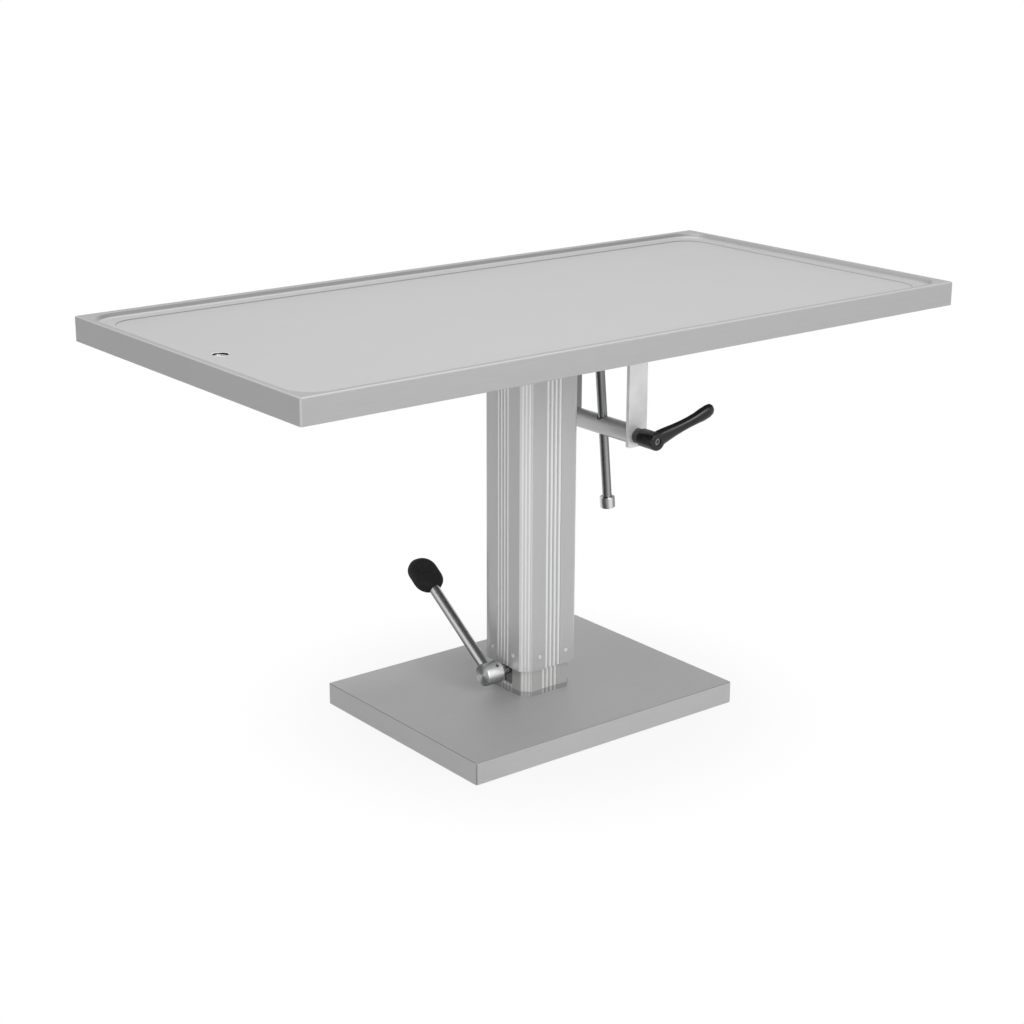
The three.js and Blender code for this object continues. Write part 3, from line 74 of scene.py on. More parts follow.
# Colours, and the directions in which a brushed grain is drawn out
SHEET_STEEL = (0.535, 0.535, 0.535)
ALUMINIUM = (0.60, 0.60, 0.602)
# Colour of the painted dark reflection and painted shade in the drain
DRAIN_SHADE_COLOUR = (0.02, 0.02, 0.02)
ALONG_X = (0.02, 1, 1)
ALONG_Y = (1, 0.02, 1)
ALONG_Z = (1, 1, 0.02)

# Scales of the noises in the materials, and the middle part of a noise that is put to use
BRUSHED_GRAIN = 900
SHEET_CLOUDS = 7
STEEL_HAZE = 60
STEEL_GRAIN = 1600
MOULDED_CLOUDS = 45
COATED_CLOUDS = 30
COATED_GRAIN = 700
NOISE_LOW = 0.3
NOISE_HIGH = 0.7

# Places on the solids that the materials follow
TOP_HALF_LENGTH = 0.650
TOP_HALF_WIDTH = 0.325
TOP_EDGE = 0.0025
CORNER_FADE = 0.020
LEDGE_LOW = 0.7090
COVE_MIDDLE = 0.7063
COVE_HALF = 0.0027
STEP_MIDDLE = 0.7000
STEP_HALF = 0.0007
DRAIN_SHADE = 0.6974
DRAIN_SHADE_HALF = 0.0013
DRAIN_DEEP = 0.6905
DRAIN_X = -0.580
DRAIN_WALL = 0.0108
BASE_HALF_LENGTH = 0.275
BASE_HALF_WIDTH = 0.210
BASE_TOP = 0.040
FOLD_LINE = 0.0012
CORNER_LINE = 0.0027
OUTER_SECTION = (0.060, 0.016)
INNER_SECTION = (0.052, 0.014)
FLUTE_LIP = 0.0003
FLUTE_FLOOR = 0.0012
CORNER_FLUTE_FLOOR = 0.0009
CORNER_FLUTE_DEPTH = 0.0024

# Tones of those places, as shares of the colour round them: painted highlights and painted shade on the top
# and the column, painted reflection bands on the bars, and dark lines along the base's folds
RIM_HIGHLIGHT_TONE = 1.1
CORNER_HIGHLIGHT_TONE = 1.25
LEDGE_SHADE_TONE = 0.78
COVE_SHADE_TONE = 0.86
LONG_COVE_SHADE_TONE = 0.52
STEP_SHADE_TONE = 0.76
LONG_STEP_SHADE_TONE = 0.55
FOLD_TONE = 0.52
CHAMFER_HIGHLIGHT_TONE = 1.3
FLUTE_EDGE_SHADE_TONE = 0.66
FLUTE_FLOOR_HIGHLIGHT_TONE = 1.6
REFLECTION_BAND_TONES = ((0.0, 0.5), (0.55, 0.95), (0.95, 1.9))

# Studio: level of the world on the object, floor, and where the floor begins and ends fading to white
SKY_LEVEL = 0.26
FLOOR_COLOUR = (0.52, 0.52, 0.52)
FLOOR_REACH = 30.0
SHADOW_NEAR = 0.25
SHADOW_FAR = 0.55
SHADOW_FADE = 0.91

# Lamps: name, place, aim, size and watts
LAMPS = (
    ("key", (-0.9, -3.4, 2.2), (0, 0, 0.4), (2.6, 2.2), 42),
    ("fill", (0.6, -3.3, 2.1), (0.2, 0, 0.5), (1.4, 1.6), 21),
    ("overhead", (0, 0.2, 3.6), (0, 0, 0.6), (2.6, 2.0), 48),
    ("low", (-2.6, -0.5, 0.25), (-0.2, 0, 0.06), (1.2, 0.4), 4),
)

# Foot lever: axis, angle at rest and the pad on the end of its rod
LEVER_AXIS = (-0.088, 0, 0.078)
LEVER_ANGLE = math.radians(34.4)
PAD_MIDDLE = 0.221
PAD_WIDTH = 0.054
PAD_LENGTH = 0.068
PAD_THICKNESS = 0.026
PAD_CORNER = 0.025
LEAST_CORNER = 0.001
PAD_EDGE = 0.011
PAD_CROWN = 0.0012
PAD_CROWN_WIDTH = 0.012
PAD_EDGE_STEPS = 10
SEAM_DEPTH = 0.0005
SEAM_HALF = 0.0007

# Clamp handle: axis of the cross bar, hub and arm
BAR_AXIS = Vector((0.156, 0.0, 0.472))
CLAMP_ANGLE = math.radians(19)
HUB_FACE = 0.1396
HUB_ROOT = 0.1026
HUB_RADIUS = 0.0155
HUB_EDGE = 0.0025
ARM_LENGTH = 0.120
ARM_RISE = 0.018
ARM_LIFT = 0.004
ARM_ROOT = HUB_FACE - (HUB_FACE - HUB_ROOT) / 4
SCREW_HOLE = 0.00655
SCREW_HOLE_DEPTH = 0.0126
SCREW_BORE = 0.0033
SPLINE_BORE = 0.0093
SPLINE_DEPTH = 0.022
HOLE_STEPS = 48
OVERCUT = 0.002
# Sections of the arm: share of its length, then height and thickness as shares of the hub's radius
ARM_SECTIONS = (
    (0.0, 0.95, 0.60), (0.1, 0.93, 0.60), (0.2, 0.84, 0.57), (0.32, 0.72, 0.54), (0.45, 0.64, 0.52),
    (0.58, 0.62, 0.51), (0.7, 0.66, 0.52), (0.8, 0.76, 0.54), (0.9, 0.76, 0.53), (0.96, 0.66, 0.46),
    (0.99, 0.45, 0.32), (1.0, 0.20, 0.14),
)
ARM_STEPS = 48

# Return spring of the pump plunger
SPRING_WIRE = 0.0007
SPRING_TURNS = 5
SPRING_STEPS = 24
WIRE_STEPS = 12

# Tilt rod: its pivot, and its lean from the upright towards the cross bar
ROD_PIVOT = (0.1395, 0, 0.655)
ROD_LEAN = math.atan2(BAR_AXIS.x - ROD_PIVOT[0], ROD_PIVOT[2] - BAR_AXIS.z)
ROD_TURN = (-math.pi / 2, -ROD_LEAN, 0)


# Material nodes

class Nodes:
    """A node tree, with short ways to add and join nodes."""

    def __init__(self, tree):
        self.tree = tree

    def node(self, kind, **settings):
        node = self.tree.nodes.new(kind)
        for key, value in settings.items():
            setattr(node, key, value)
        return node

    def join(self, source, target):
        self.tree.links.new(source, target)

    def maths(self, operation, *values):
        """One Math node on values that are sockets or numbers."""
        node = self.node("ShaderNodeMath", operation=operation)
        for value, socket in zip(values, node.inputs):
            if isinstance(value, (int, float)):
                socket.default_value = value
            else:
                self.join(value, socket)
        return node.outputs["Value"]


class Shader(Nodes):
    """A material's node tree with its Principled shader."""

    def __init__(self, name, colour, metallic, roughness):
        self.material = bpy.data.materials.new(name)
        self.material.use_nodes = True
        super().__init__(self.material.node_tree)
        self.surface = self.tree.nodes["Principled BSDF"]
        self.surface.inputs["Base Color"].default_value = (*colour, 1)
        self.surface.inputs["Metallic"].default_value = metallic
        self.surface.inputs["Roughness"].default_value = roughness

    def place(self, scale):
        """Coordinates in the part's own frame, stretched by scale."""
        where = self.node("ShaderNodeTexCoord")
        mapping = self.node("ShaderNodeMapping")
        mapping.inputs["Scale"].default_value = scale
        self.join(where.outputs["Object"], mapping.inputs["Vector"])
        return mapping.outputs["Vector"]

    def noise(self, scale, detail=3.0, stretch=(1, 1, 1)):
        noise = self.node("ShaderNodeTexNoise")
        noise.inputs["Scale"].default_value = scale
        noise.inputs["Detail"].default_value = detail
        self.join(self.place(stretch), noise.inputs["Vector"])
        return noise.outputs["Fac"]

    def spread(self, value, low, high):
        """The middle of a noise spread over low to high."""
        spread = self.node("ShaderNodeMapRange")
        spread.inputs["From Min"].default_value = NOISE_LOW
        spread.inputs["From Max"].default_value = NOISE_HIGH
        spread.inputs["To Min"].default_value = low
        spread.inputs["To Max"].default_value = high
        self.join(value, spread.inputs["Value"])
        return spread.outputs["Result"]

    def colours(self, value, *stops):
        """Colour from a value by stops of (place, colour)."""
        ramp = self.node("ShaderNodeValToRGB")
        elements = ramp.color_ramp.elements
        while len(elements) < len(stops):
            elements.new(0.5)
        for element, (place, colour) in zip(elements, stops):
            element.position = place
            element.color = (*colour, 1)
        self.join(value, ramp.inputs["Fac"])
        self.join(ramp.outputs["Color"], self.surface.inputs["Base Color"])

    def mottle(self, noise, colour, low, high):
        """The colour from its low to its high tone by a noise."""
        self.colours(noise, (NOISE_LOW, tone(colour, low)), (NOISE_HIGH, tone(colour, high)))

    def axes(self):
        """The three coordinates in the part's own frame."""
        split = self.node("ShaderNodeSeparateXYZ")
        self.join(self.place((1, 1, 1)), split.inputs["Vector"])
        return split.outputs["X"], split.outputs["Y"], split.outputs["Z"]

    def repaint(self, mask, colour):
        """Lays another colour over the base colour where mask is 1."""
        target = self.surface.inputs["Base Color"]
        mix = self.node("ShaderNodeMix", data_type="RGBA")
        below, above = [socket for socket in mix.inputs if socket.type == "RGBA"]
        self.join(mask, mix.inputs["Factor"])
        self.join(target.links[0].from_socket, below)
        above.default_value = (*colour, 1)
        self.join(next(socket for socket in mix.outputs if socket.type == "RGBA"), target)

    def rough(self, value, low, high):
        self.join(self.spread(value, low, high), self.surface.inputs["Roughness"])

    def bump(self, value, height, strength=1.0):
        bump = self.node("ShaderNodeBump")
        bump.inputs["Distance"].default_value = height
        bump.inputs["Strength"].default_value = strength
        self.join(value, bump.inputs["Height"])
        self.join(bump.outputs["Normal"], self.surface.inputs["Normal"])


def tone(colour, factor):
    return tuple(min(channel * factor, 1.0) for channel in colour)


def brushed(name, colour, metallic, roughness, stretch, contrast=0.05):
    """Sheet metal with a fine brushed grain drawn out along the axis with the smallest stretch."""
    shader = Shader(name, colour, metallic, roughness)
    lines = shader.noise(BRUSHED_GRAIN, detail=2.0, stretch=stretch)
    clouds = shader.noise(SHEET_CLOUDS)
    shader.mottle(lines, colour, low=1 - contrast, high=1 + contrast)
    shader.rough(clouds, low=roughness - 0.03, high=roughness + 0.03)
    shader.bump(lines, height=0.00001, strength=0.3)
    return shader


def outline(shader, half_length, half_width):
    """How far a point lies inside a rectangle, its height, 1 on upright corners and 1 by the long sides.

    The last fades over the corners."""
    x, y, z = shader.axes()
    x, y = shader.maths("ABSOLUTE", x), shader.maths("ABSOLUTE", y)
    from_end = shader.maths("SUBTRACT", half_length, x)
    from_side = shader.maths("SUBTRACT", half_width, y)
    inset = shader.maths("MINIMUM", from_end, from_side)
    across = shader.maths("ADD", x, y)
    corner = shader.maths("GREATER_THAN", across, half_length + half_width - CORNER_LINE)
    fade = shader.node("ShaderNodeMapRange")
    fade.inputs["From Min"].default_value = -CORNER_FADE
    fade.inputs["From Max"].default_value = CORNER_FADE
    shader.join(shader.maths("SUBTRACT", from_end, from_side), fade.inputs["Value"])
    return inset, z, corner, fade.outputs["Result"]


def pressed_pan(name, colour):
    """Brushed sheet with painted highlights on its edges, and painted shade on the ledge, in the cove and as
    a fine line round the sunk panel.
    """
    shader = brushed(name, colour, metallic=0.25, roughness=0.56, stretch=ALONG_X, contrast=0.025)
    inset, z, corner, long_side = outline(shader, TOP_HALF_LENGTH, TOP_HALF_WIDTH)
    inside = shader.maths("GREATER_THAN", inset, TOP_EDGE)
    high = shader.maths("GREATER_THAN", z, LEDGE_LOW)
    at_cove = shader.maths("MULTIPLY", inside, shader.maths("COMPARE", z, COVE_MIDDLE, COVE_HALF))
    at_step = shader.maths("MULTIPLY", inside, shader.maths("COMPARE", z, STEP_MIDDLE, STEP_HALF))
    # Painted highlights: a lighter band along the top edge of the rim and on the upright corners of the
    # apron.
    shader.repaint(high, tone(colour, RIM_HIGHLIGHT_TONE))
    shader.repaint(corner, tone(colour, CORNER_HIGHLIGHT_TONE))
    # Painted shade: the ledge, the cove and the step round the sunk panel are darkened, most along the long
    # sides.
    shader.repaint(shader.maths("MULTIPLY", inside, high), tone(colour, LEDGE_SHADE_TONE))
    shader.repaint(at_cove, tone(colour, COVE_SHADE_TONE))
    shader.repaint(shader.maths("MULTIPLY", long_side, at_cove), tone(colour, LONG_COVE_SHADE_TONE))
    shader.repaint(at_step, tone(colour, STEP_SHADE_TONE))
    shader.repaint(shader.maths("MULTIPLY", long_side, at_step), tone(colour, LONG_STEP_SHADE_TONE))
    return shader.material


def folded_cover(name, colour):
    """Matt sheet with fine dark lines along its folds."""
    shader = brushed(name, colour, metallic=0.32, roughness=0.6, stretch=ALONG_X, contrast=0.03)
    inset, z, corner, _ = outline(shader, BASE_HALF_LENGTH, BASE_HALF_WIDTH)
    at_edge = shader.maths("LESS_THAN", inset, FOLD_LINE)
    high = shader.maths("GREATER_THAN", z, BASE_TOP - FOLD_LINE)
    fold = shader.maths("MULTIPLY", at_edge, high)
    shader.repaint(shader.maths("MAXIMUM", corner, fold), tone(colour, FOLD_TONE))
    return shader.material


def fluted(name, colour, metallic, half, chamfer):
    """An extruded column with a painted highlight on its chamfered corners, and flutes with painted
    highlights on their floors within painted shade at their edges.

    half and chamfer are those of its section."""
    shader = brushed(name, colour, metallic, roughness=0.36, stretch=ALONG_Z, contrast=0.03)
    x, y, _ = shader.axes()
    x, y = shader.maths("ABSOLUTE", x), shader.maths("ABSOLUTE", y)
    outer = shader.maths("MAXIMUM", x, y)
    across = shader.maths("ADD", x, y)
    corner = 2 * half - chamfer

    def behind(lip, corner_lip):
        inside = shader.maths("LESS_THAN", outer, half - lip)
        return shader.maths("MULTIPLY", inside, shader.maths("LESS_THAN", across, corner - corner_lip))

    off_side = shader.maths("LESS_THAN", outer, half - FLUTE_LIP)
    on_corner = shader.maths("GREATER_THAN", across, corner - CORNER_FLUTE_DEPTH)
    # Painted highlight on the chamfered corner, painted shade along the flute edges and a painted highlight
    # on the flute floors.
    shader.repaint(shader.maths("MULTIPLY", off_side, on_corner), tone(colour, CHAMFER_HIGHLIGHT_TONE))
    shader.repaint(behind(FLUTE_LIP, FLUTE_LIP), tone(colour, FLUTE_EDGE_SHADE_TONE))
    shader.repaint(behind(FLUTE_FLOOR, CORNER_FLUTE_FLOOR), tone(colour, FLUTE_FLOOR_HIGHLIGHT_TONE))
    return shader.material


def reflection_banded(name, colour, roughness, origin, turn, bands, bright):
    """A drawn or turned bar with painted reflection: light and dark bands along it, the brightest at the
    angle bright.

    origin and turn set the bar's own frame, with Y along the bar."""
    shader = Shader(name, colour, metallic=0.7, roughness=roughness)
    own = shader.node("ShaderNodeMapping", vector_type="TEXTURE")
    own.inputs["Location"].default_value = origin
    own.inputs["Rotation"].default_value = turn
    split = shader.node("ShaderNodeSeparateXYZ")
    shader.join(shader.node("ShaderNodeTexCoord").outputs["Object"], own.inputs["Vector"])
    shader.join(own.outputs["Vector"], split.inputs["Vector"])
    # Painted reflection: light and dark bands by the angle round the bar, lightest at the angle bright.
    angle = shader.maths("ARCTAN2", split.outputs["X"], split.outputs["Z"])
    wave = shader.maths("COSINE", shader.maths("MULTIPLY", shader.maths("SUBTRACT", angle, bright), bands))
    level = shader.maths("MULTIPLY_ADD", wave, 0.5, 0.5)
    shader.colours(level, *((place, tone(colour, share)) for place, share in REFLECTION_BAND_TONES))
    haze = shader.noise(STEEL_HAZE, detail=4.0)
    shader.rough(haze, low=roughness - 0.02, high=roughness + 0.02)
    return shader.material


def drawn(name, colour, roughness, metallic=1.0):
    """Drawn or turned steel with a faint haze."""
    shader = Shader(name, colour, metallic, roughness)
    haze = shader.noise(STEEL_HAZE, detail=4.0)
    shader.mottle(haze, colour, low=0.93, high=1.04)
    shader.rough(haze, low=roughness - 0.04, high=roughness + 0.06)
    shader.bump(shader.noise(STEEL_GRAIN, detail=2.0), height=0.000004, strength=0.2)
    return shader


def polished(name, colour, roughness):
    return drawn(name, colour, roughness).material


def drain_look(name, colour):
    """Polished steel with a painted dark reflection in a band under its lip and painted shade deep in its
    bore.
    """
    shader = drawn(name, colour, roughness=0.16, metallic=0.3)
    x, y, z = shader.axes()
    x = shader.maths("SUBTRACT", x, DRAIN_X)
    reach = shader.maths("ADD", shader.maths("MULTIPLY", x, x), shader.maths("MULTIPLY", y, y))
    bore = shader.maths("LESS_THAN", reach, DRAIN_WALL * DRAIN_WALL)
    below_lip = shader.maths("COMPARE", z, DRAIN_SHADE, DRAIN_SHADE_HALF)
    deep = shader.maths("MULTIPLY", bore, shader.maths("LESS_THAN", z, DRAIN_DEEP))
    # Painted dark reflection under the lip and painted shade deep in the bore.
    shader.repaint(shader.maths("MAXIMUM", below_lip, deep), DRAIN_SHADE_COLOUR)
    return shader.material


def moulded(name, colour, roughness, grain, height, specular=0.5):
    """Plastic or rubber with a moulded grain and slightly uneven gloss."""
    shader = Shader(name, colour, metallic=0.0, roughness=roughness)
    cloud = shader.noise(MOULDED_CLOUDS, detail=4.0)
    shader.mottle(cloud, colour, low=0.85, high=1.2)
    shader.rough(cloud, low=roughness - 0.05, high=roughness + 0.07)
    shader.bump(shader.noise(grain, detail=4.0), height, strength=0.5)
    shader.surface.inputs["Specular IOR Level"].default_value = specular
    return shader.material


def coated(name, colour, metallic, roughness):
    """Cast or painted metal with a fine orange-peel surface."""
    shader = Shader(name, colour, metallic, roughness)
    cloud = shader.noise(COATED_CLOUDS, detail=5.0)
    shader.mottle(cloud, colour, low=0.92, high=1.06)
    shader.rough(cloud, low=roughness - 0.05, high=roughness + 0.05)
    shader.bump(shader.noise(COATED_GRAIN), height=0.00004, strength=0.4)
    return shader.material


# Materials

top_steel = pressed_pan("top_steel", SHEET_STEEL)
base_steel = folded_cover("base_steel", tone(SHEET_STEEL, 1.15))
frame_steel = brushed(
    "frame_steel", tone(SHEET_STEEL, 0.9), metallic=0.6, roughness=0.45, stretch=ALONG_X).material
column_aluminium = fluted("column_aluminium", ALUMINIUM, 0.3, *OUTER_SECTION)
inner_aluminium = fluted("inner_aluminium", (0.56, 0.558, 0.555), 0.3, *INNER_SECTION)
foot_grey = fluted("foot_grey", (0.36, 0.36, 0.36), 0.2, *INNER_SECTION)
bar_aluminium = brushed(
    "bar_aluminium", tone(ALUMINIUM, 1.1), metallic=0.4, roughness=0.35, stretch=ALONG_Y).material
plate_paint = coated("plate_paint", (0.95, 0.95, 0.95), metallic=0.5, roughness=0.45)
# Back side plate: the same paint as the front plate, darkened as painted shade under the table.
painted_shade_plate = coated("painted_shade_plate", (0.34, 0.345, 0.35), metallic=0.3, roughness=0.45)
chrome = polished("chrome", (0.55, 0.555, 0.56), roughness=0.16)
hub_steel = reflection_banded(
    "hub_steel", (0.45, 0.452, 0.456), roughness=0.28,
    origin=LEVER_AXIS, turn=(0, 0, -math.pi / 2), bands=2, bright=math.radians(56))
lever_steel = reflection_banded(
    "lever_steel", (0.36, 0.362, 0.366), roughness=0.24,
    origin=LEVER_AXIS, turn=(LEVER_ANGLE, 0, 0), bands=4, bright=math.radians(34))
rod_steel = reflection_banded(
    "rod_steel", (0.20, 0.203, 0.207), roughness=0.24,
    origin=ROD_PIVOT, turn=ROD_TURN, bands=4, bright=math.radians(15))
nut_steel = reflection_banded(
    "nut_steel", (0.40, 0.402, 0.406), roughness=0.24,
    origin=ROD_PIVOT, turn=ROD_TURN, bands=4, bright=math.radians(15))
# Clamp screw: steel darkened as painted shade in the handle's screw recess.
screw_shade_steel = polished("screw_shade_steel", (0.20, 0.20, 0.205), roughness=0.2)
drain_steel = drain_look("drain_steel", (0.92, 0.92, 0.92))
dark_steel = coated("dark_steel", (0.06, 0.062, 0.066), metallic=0.6, roughness=0.42)
cast_grey = coated("cast_grey", (0.26, 0.26, 0.26), metallic=0.4, roughness=0.55)
white_plastic = moulded(
    "white_plastic", (0.95, 0.95, 0.94), roughness=0.45, grain=900, height=0.00003)
black_plastic = moulded(
    "black_plastic", (0.008, 0.008, 0.009), roughness=0.19, grain=700, height=0.000002, specular=0.4)
black_rubber = moulded(
    "black_rubber", (0.012, 0.012, 0.013), roughness=0.75, grain=420, height=0.00015, specular=0.3)

SLOT_LOOKS = {
    "brushed_stainless": frame_steel,
    "satin_aluminium": column_aluminium,
    "light_plate": plate_paint,
    "bright_steel": chrome,
    "dark_steel": dark_steel,
    "cast_grey": cast_grey,
    "white_plastic": white_plastic,
    "black_plastic": black_plastic,
    "black_rubber": black_rubber,
}
NODE_LOOKS = {
    "table_pan": top_steel,
    "base_cover": base_steel,
    "inner_column": inner_aluminium,
    "column_foot_plate": foot_grey,
    "cross_bar": bar_aluminium,
    "side_plate_back": painted_shade_plate,
    "tilt_rod": rod_steel,
    "lever_rod": lever_steel,
    "lever_hub": hub_steel,
    "clamp_screw": screw_shade_steel,
    "drain_fitting": drain_steel,
    "rod_end_nut": nut_steel,
}


# Finishing of the solids

def smooth_group():
    """Geometry nodes that shade faces smoothly except across edges sharper than SMOOTH_ANGLE."""
    group = bpy.data.node_groups.new("smooth_by_angle", "GeometryNodeTree")
    group.interface.new_socket("Geometry", in_out="INPUT", socket_type="NodeSocketGeometry")
    group.interface.new_socket("Geometry", in_out="OUTPUT", socket_type="NodeSocketGeometry")
    start = group.nodes.new("NodeGroupInput")
    end = group.nodes.new("NodeGroupOutput")
    faces = group.nodes.new("GeometryNodeSetShadeSmooth")
    edges = group.nodes.new("GeometryNodeSetShadeSmooth")
    edges.domain = "EDGE"
    angle = group.nodes.new("GeometryNodeInputMeshEdgeAngle")
    below = group.nodes.new("FunctionNodeCompare")
    below.operation = "LESS_THAN"
    below.inputs["B"].default_value = SMOOTH_ANGLE
    link = group.links.new
    link(start.outputs[0], faces.inputs["Geometry"])
    link(faces.outputs["Geometry"], edges.inputs["Geometry"])
    link(angle.outputs["Unsigned Angle"], below.inputs["A"])
    link(below.outputs["Result"], edges.inputs["Shade Smooth"])
    link(edges.outputs["Geometry"], end.inputs[0])
    return group


SMOOTH = smooth_group()


def shade(obj):
    """Shades smoothly up to SMOOTH_ANGLE and keeps flat faces flat."""
    smooth = obj.modifiers.new("smooth", "NODES")
    smooth.node_group = SMOOTH
    flat = obj.modifiers.new("flat_faces", "WEIGHTED_NORMAL")
    flat.keep_sharp = True


def paint(obj, material):
    obj.data.materials.clear()
    obj.data.materials.append(material)


def finish(obj, material, edge):
    """Merges split corners, rounds sharp edges, shades smoothly and sets the material."""
    weld = obj.modifiers.new("weld", "WELD")
    weld.merge_threshold = WELD_REACH
    bevel = obj.modifiers.new("edge", "BEVEL")
    bevel.width = edge
    bevel.segments = EDGE_SEGMENTS
    bevel.limit_method = "ANGLE"
    bevel.angle_limit = SMOOTH_ANGLE
    shade(obj)
    paint(obj, material)


slots = {part["node"]: part["material_slot"] for part in frame["record"]["subparts"]}
for name, node in frame["nodes"].items():
    look = NODE_LOOKS.get(name, SLOT_LOOKS[slots[name]])
    finish(node, look, SOFT_EDGE if name in SOFT_NODES else FINE_EDGE)


# Detailed pieces

def loft(name, rings):
    """A closed mesh object through rings of equally many points, with fans at both ends."""
    mesh = bmesh.new()
    rows = [[mesh.verts.new(point) for point in ring] for ring in rings]
    for row, after in zip(rows, rows[1:]):
        for i in range(len(row)):
            j = (i + 1) % len(row)
            mesh.faces.new((row[i], row[j], after[j], after[i]))
    for row in (rows[0], rows[-1]):
        middle = mesh.verts.new(sum((vert.co for vert in row), Vector()) / len(row))
        for i in range(len(row)):
            mesh.faces.new((row[i], row[(i + 1) % len(row)], middle))
    bmesh.ops.recalc_face_normals(mesh, faces=mesh.faces)
    data = bpy.data.meshes.new(name)
    mesh.to_mesh(data)
    mesh.free()
    obj = bpy.data.objects.new(name, data)
    bpy.context.collection.objects.link(obj)
    return obj


def lathe(name, profile, steps=64):
    """A closed mesh object turned about the Y axis: profile of (radius, place along Y)."""
    turns = [2 * math.pi * step / steps for step in range(steps)]
    return loft(name, [
        [Vector((radius * math.cos(turn), along, radius * math.sin(turn))) for turn in turns]
        for radius, along in profile])


def rounded_ring(length, width, inset, corner, z, steps=10):
    """A rectangle with rounded corners about the origin, drawn in by inset, at height z."""
    radius = max(corner - inset, LEAST_CORNER)
    centre_x = length / 2 - inset - radius
    centre_y = width / 2 - inset - radius
    ring = []
    for quarter, (sign_x, sign_y) in enumerate(((1, 1), (-1, 1), (-1, -1), (1, -1))):
        for step in range(steps + 1):
            turn = (quarter + step / steps) * math.pi / 2
            ring.append(Vector((
                sign_x * centre_x + radius * math.cos(turn), sign_y * centre_y + radius * math.sin(turn), z)))
    return ring


def settle(obj):
    """Replaces an object's mesh by the result of its modifiers."""
    seen = obj.evaluated_get(bpy.context.evaluated_depsgraph_get())
    mesh = bpy.data.meshes.new_from_object(seen)
    obj.modifiers.clear()
    obj.data = mesh


def combine(obj, tool, operation):
    """Joins or cuts with a tool, which is then removed."""
    step = obj.modifiers.new(operation, "BOOLEAN")
    step.operation = operation
    step.object = tool
    settle(obj)
    bpy.data.objects.remove(tool)


def place_piece(obj, matrix, body, node, material):
    """Puts a piece where its node is, rides it on its body and gives it its look."""
    obj.data.transform(matrix)
    obj.data.polygons.foreach_set("use_smooth", [True] * len(obj.data.polygons))
    paint(obj, material)
    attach(obj, body)
    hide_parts(node)


def make_pad():
    """The moulded foot pad: crowned faces, rounded edges and a fine seam round its middle."""
    half = PAD_THICKNESS / 2
    flat = half - PAD_EDGE
    rings = []
    for share in (1, 0.5):
        rings.append((PAD_EDGE + share * PAD_CROWN_WIDTH, -half - share * PAD_CROWN))
    for step in range(PAD_EDGE_STEPS + 1):
        turn = math.pi / 2 * step / PAD_EDGE_STEPS
        rings.append((PAD_EDGE * (1 - math.sin(turn)), -flat - PAD_EDGE * math.cos(turn)))
    rings += [(0.0, -2 * SEAM_HALF), (0.0, -SEAM_HALF), (SEAM_DEPTH, 0.0)]
    upper = [(inset, -z) for inset, z in rings[:-1]]
    profile = rings + upper[::-1]
    pad = loft("foot_pad", [
        rounded_ring(PAD_WIDTH, PAD_LENGTH, inset, PAD_CORNER, z) for inset, z in profile])
    place = Matrix.Translation(LEVER_AXIS) @ Matrix.Rotation(LEVER_ANGLE, 4, "X")
    place = place @ Matrix.Translation((0, PAD_MIDDLE, 0))
    place_piece(pad, place, "pump_pedal", "pedal_pad", black_rubber)


def make_clamp_handle():
    """The moulded clamp handle: hub and swept arm in one, with its bore and the screw's recess and hole."""
    hub = lathe("moulded_handle", [
        (HUB_RADIUS - HUB_EDGE, -HUB_FACE), (HUB_RADIUS - HUB_EDGE / 3, HUB_EDGE / 3 - HUB_FACE),
        (HUB_RADIUS, HUB_EDGE - HUB_FACE), (HUB_RADIUS, -HUB_ROOT)])
    turns = [2 * math.pi * step / ARM_STEPS for step in range(ARM_STEPS)]
    rings = []
    for share, height, thickness in ARM_SECTIONS:
        middle = -ARM_ROOT - ARM_RISE * share * share * (3 - 2 * share)
        lift = ARM_LIFT * share * share
        rings.append([Vector((
            share * ARM_LENGTH,
            middle + thickness * HUB_RADIUS * math.cos(turn),
            lift + height * HUB_RADIUS * math.sin(turn))) for turn in turns])
    combine(hub, loft("arm", rings), "UNION")
    holes = (
        (SCREW_HOLE, HUB_FACE + OVERCUT, HUB_FACE - SCREW_HOLE_DEPTH),
        (SPLINE_BORE, HUB_ROOT + SPLINE_DEPTH, HUB_ROOT - OVERCUT),
        (SCREW_BORE, HUB_FACE, HUB_ROOT))
    for radius, front, back in holes:
        combine(hub, lathe("hole", [(radius, -front), (radius, -back)], HOLE_STEPS), "DIFFERENCE")
    place = Matrix.Translation(BAR_AXIS) @ Matrix.Rotation(-CLAMP_ANGLE, 4, "Y")
    place_piece(hub, place, "clamp_handle", "clamp_handle", black_plastic)
    shade(hub)


def make_spring():
    """The plunger's return spring, a wire coil between plunger head and pump block that rides on the plunger.
    """
    low, high = (Vector(corner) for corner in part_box("plunger_spring"))
    upright = Vector((0, 0, 1))
    half_wire = SPRING_WIRE / 2
    radius = (high.x - low.x) / 2 - half_wire
    foot = Vector(((low.x + high.x) / 2, (low.y + high.y) / 2, low.z + half_wire))
    rise = (high.z - low.z - SPRING_WIRE) / (SPRING_STEPS * SPRING_TURNS)
    sides = [2 * math.pi * side / WIRE_STEPS for side in range(WIRE_STEPS)]
    rings = []
    for step in range(SPRING_STEPS * SPRING_TURNS + 1):
        turn = 2 * math.pi * step / SPRING_STEPS
        out = Vector((math.cos(turn), math.sin(turn), 0))
        middle = foot + radius * out + step * rise * upright
        rings.append([
            middle + half_wire * (math.cos(side) * out + math.sin(side) * upright) for side in sides])
    coil = loft("return_spring", rings)
    place_piece(coil, Matrix(), "pump_plunger", "plunger_spring", chrome)
    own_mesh(coil)


make_pad()
make_clamp_handle()
make_spring()


# Floor, light and camera

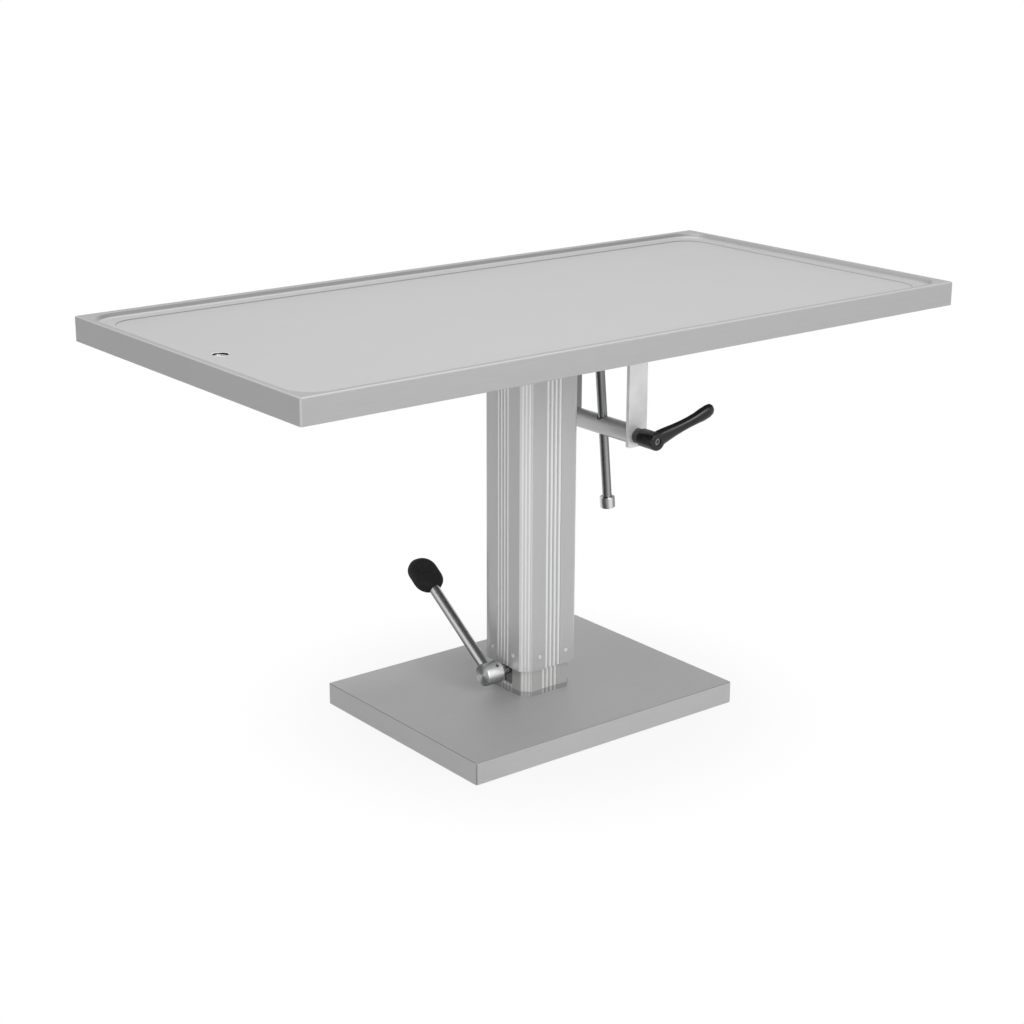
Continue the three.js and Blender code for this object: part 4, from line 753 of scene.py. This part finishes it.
def seen_rays(shader):
    """1 for the rays that show the background: those of the camera, mirrored ones and ones through glass."""
    path = shader.node("ShaderNodeLightPath")
    seen = shader.maths("MAXIMUM", path.outputs["Is Camera Ray"], path.outputs["Is Glossy Ray"])
    return shader.maths("MAXIMUM", seen, path.outputs["Is Transmission Ray"])


def light_world():
    """White where it is seen or mirrored, and a plain soft level on the object."""
    world = bpy.data.worlds.new("studio")
    world.use_nodes = True
    bpy.context.scene.world = world
    sky = Nodes(world.node_tree)
    background = sky.tree.nodes["Background"]
    background.inputs["Color"].default_value = (1, 1, 1, 1)
    level = sky.node("ShaderNodeMapRange")
    level.inputs["To Min"].default_value = SKY_LEVEL
    sky.join(seen_rays(sky), level.inputs["Value"])
    sky.join(level.outputs["Result"], background.inputs["Strength"])


def lay_floor():
    """A pale floor that fades to white where it is seen away from the object, and keeps its shadow."""
    mesh = bpy.data.meshes.new("floor")
    corners = [(-FLOOR_REACH, -FLOOR_REACH, 0), (FLOOR_REACH, -FLOOR_REACH, 0)]
    corners += [(FLOOR_REACH, FLOOR_REACH, 0), (-FLOOR_REACH, FLOOR_REACH, 0)]
    mesh.from_pydata(corners, [], [(0, 1, 2, 3)])
    floor = bpy.data.objects.new("floor", mesh)
    bpy.context.collection.objects.link(floor)
    shader = Shader("floor", FLOOR_COLOUR, metallic=0.0, roughness=0.9)
    distance = shader.node("ShaderNodeVectorMath", operation="LENGTH")
    fade = shader.node("ShaderNodeMapRange", interpolation_type="SMOOTHSTEP")
    fade.inputs["From Min"].default_value = SHADOW_NEAR
    fade.inputs["From Max"].default_value = SHADOW_FAR
    fade.inputs["To Min"].default_value = SHADOW_FADE
    white = shader.node("ShaderNodeEmission")
    mixed = shader.node("ShaderNodeMixShader")
    shader.join(shader.place((1, 1, 1)), distance.inputs[0])
    shader.join(distance.outputs["Value"], fade.inputs["Value"])
    shader.join(shader.maths("MULTIPLY", fade.outputs["Result"], seen_rays(shader)), mixed.inputs["Fac"])
    shader.join(shader.surface.outputs["BSDF"], mixed.inputs[1])
    shader.join(white.outputs["Emission"], mixed.inputs[2])
    shader.join(mixed.outputs["Shader"], shader.tree.nodes["Material Output"].inputs["Surface"])
    mesh.materials.append(shader.material)


def hang_lamp(name, place, aim, size, power):
    lamp = bpy.data.lights.new(name, "AREA")
    lamp.shape = "RECTANGLE"
    lamp.size, lamp.size_y = size
    lamp.energy = power
    obj = bpy.data.objects.new(name, lamp)
    obj.location = place
    obj.rotation_euler = (Vector(aim) - Vector(place)).to_track_quat("-Z", "Y").to_euler()
    bpy.context.collection.objects.link(obj)


def set_camera():
    back = Vector((
        math.sin(CAMERA_AZIMUTH) * math.cos(CAMERA_ELEVATION),
        -math.cos(CAMERA_AZIMUTH) * math.cos(CAMERA_ELEVATION),
        math.sin(CAMERA_ELEVATION)))
    right = Vector((math.cos(CAMERA_AZIMUTH), math.sin(CAMERA_AZIMUTH), 0))
    turn = Matrix((right, back.cross(right), back)).transposed() @ Matrix.Rotation(CAMERA_ROLL, 3, "Z")
    data = bpy.data.cameras.new("camera")
    data.lens = CAMERA_LENS
    data.sensor_width = SENSOR
    data.clip_end = CAMERA_REACH
    camera = bpy.data.objects.new("camera", data)
    camera.matrix_world = Matrix.Translation(CAMERA_PLACE) @ turn.to_4x4()
    bpy.context.collection.objects.link(camera)
    bpy.context.scene.camera = camera


light_world()
lay_floor()
for lamp in LAMPS:
    hang_lamp(*lamp)
set_camera()
bpy.context.scene.view_settings.view_transform = "Standard"
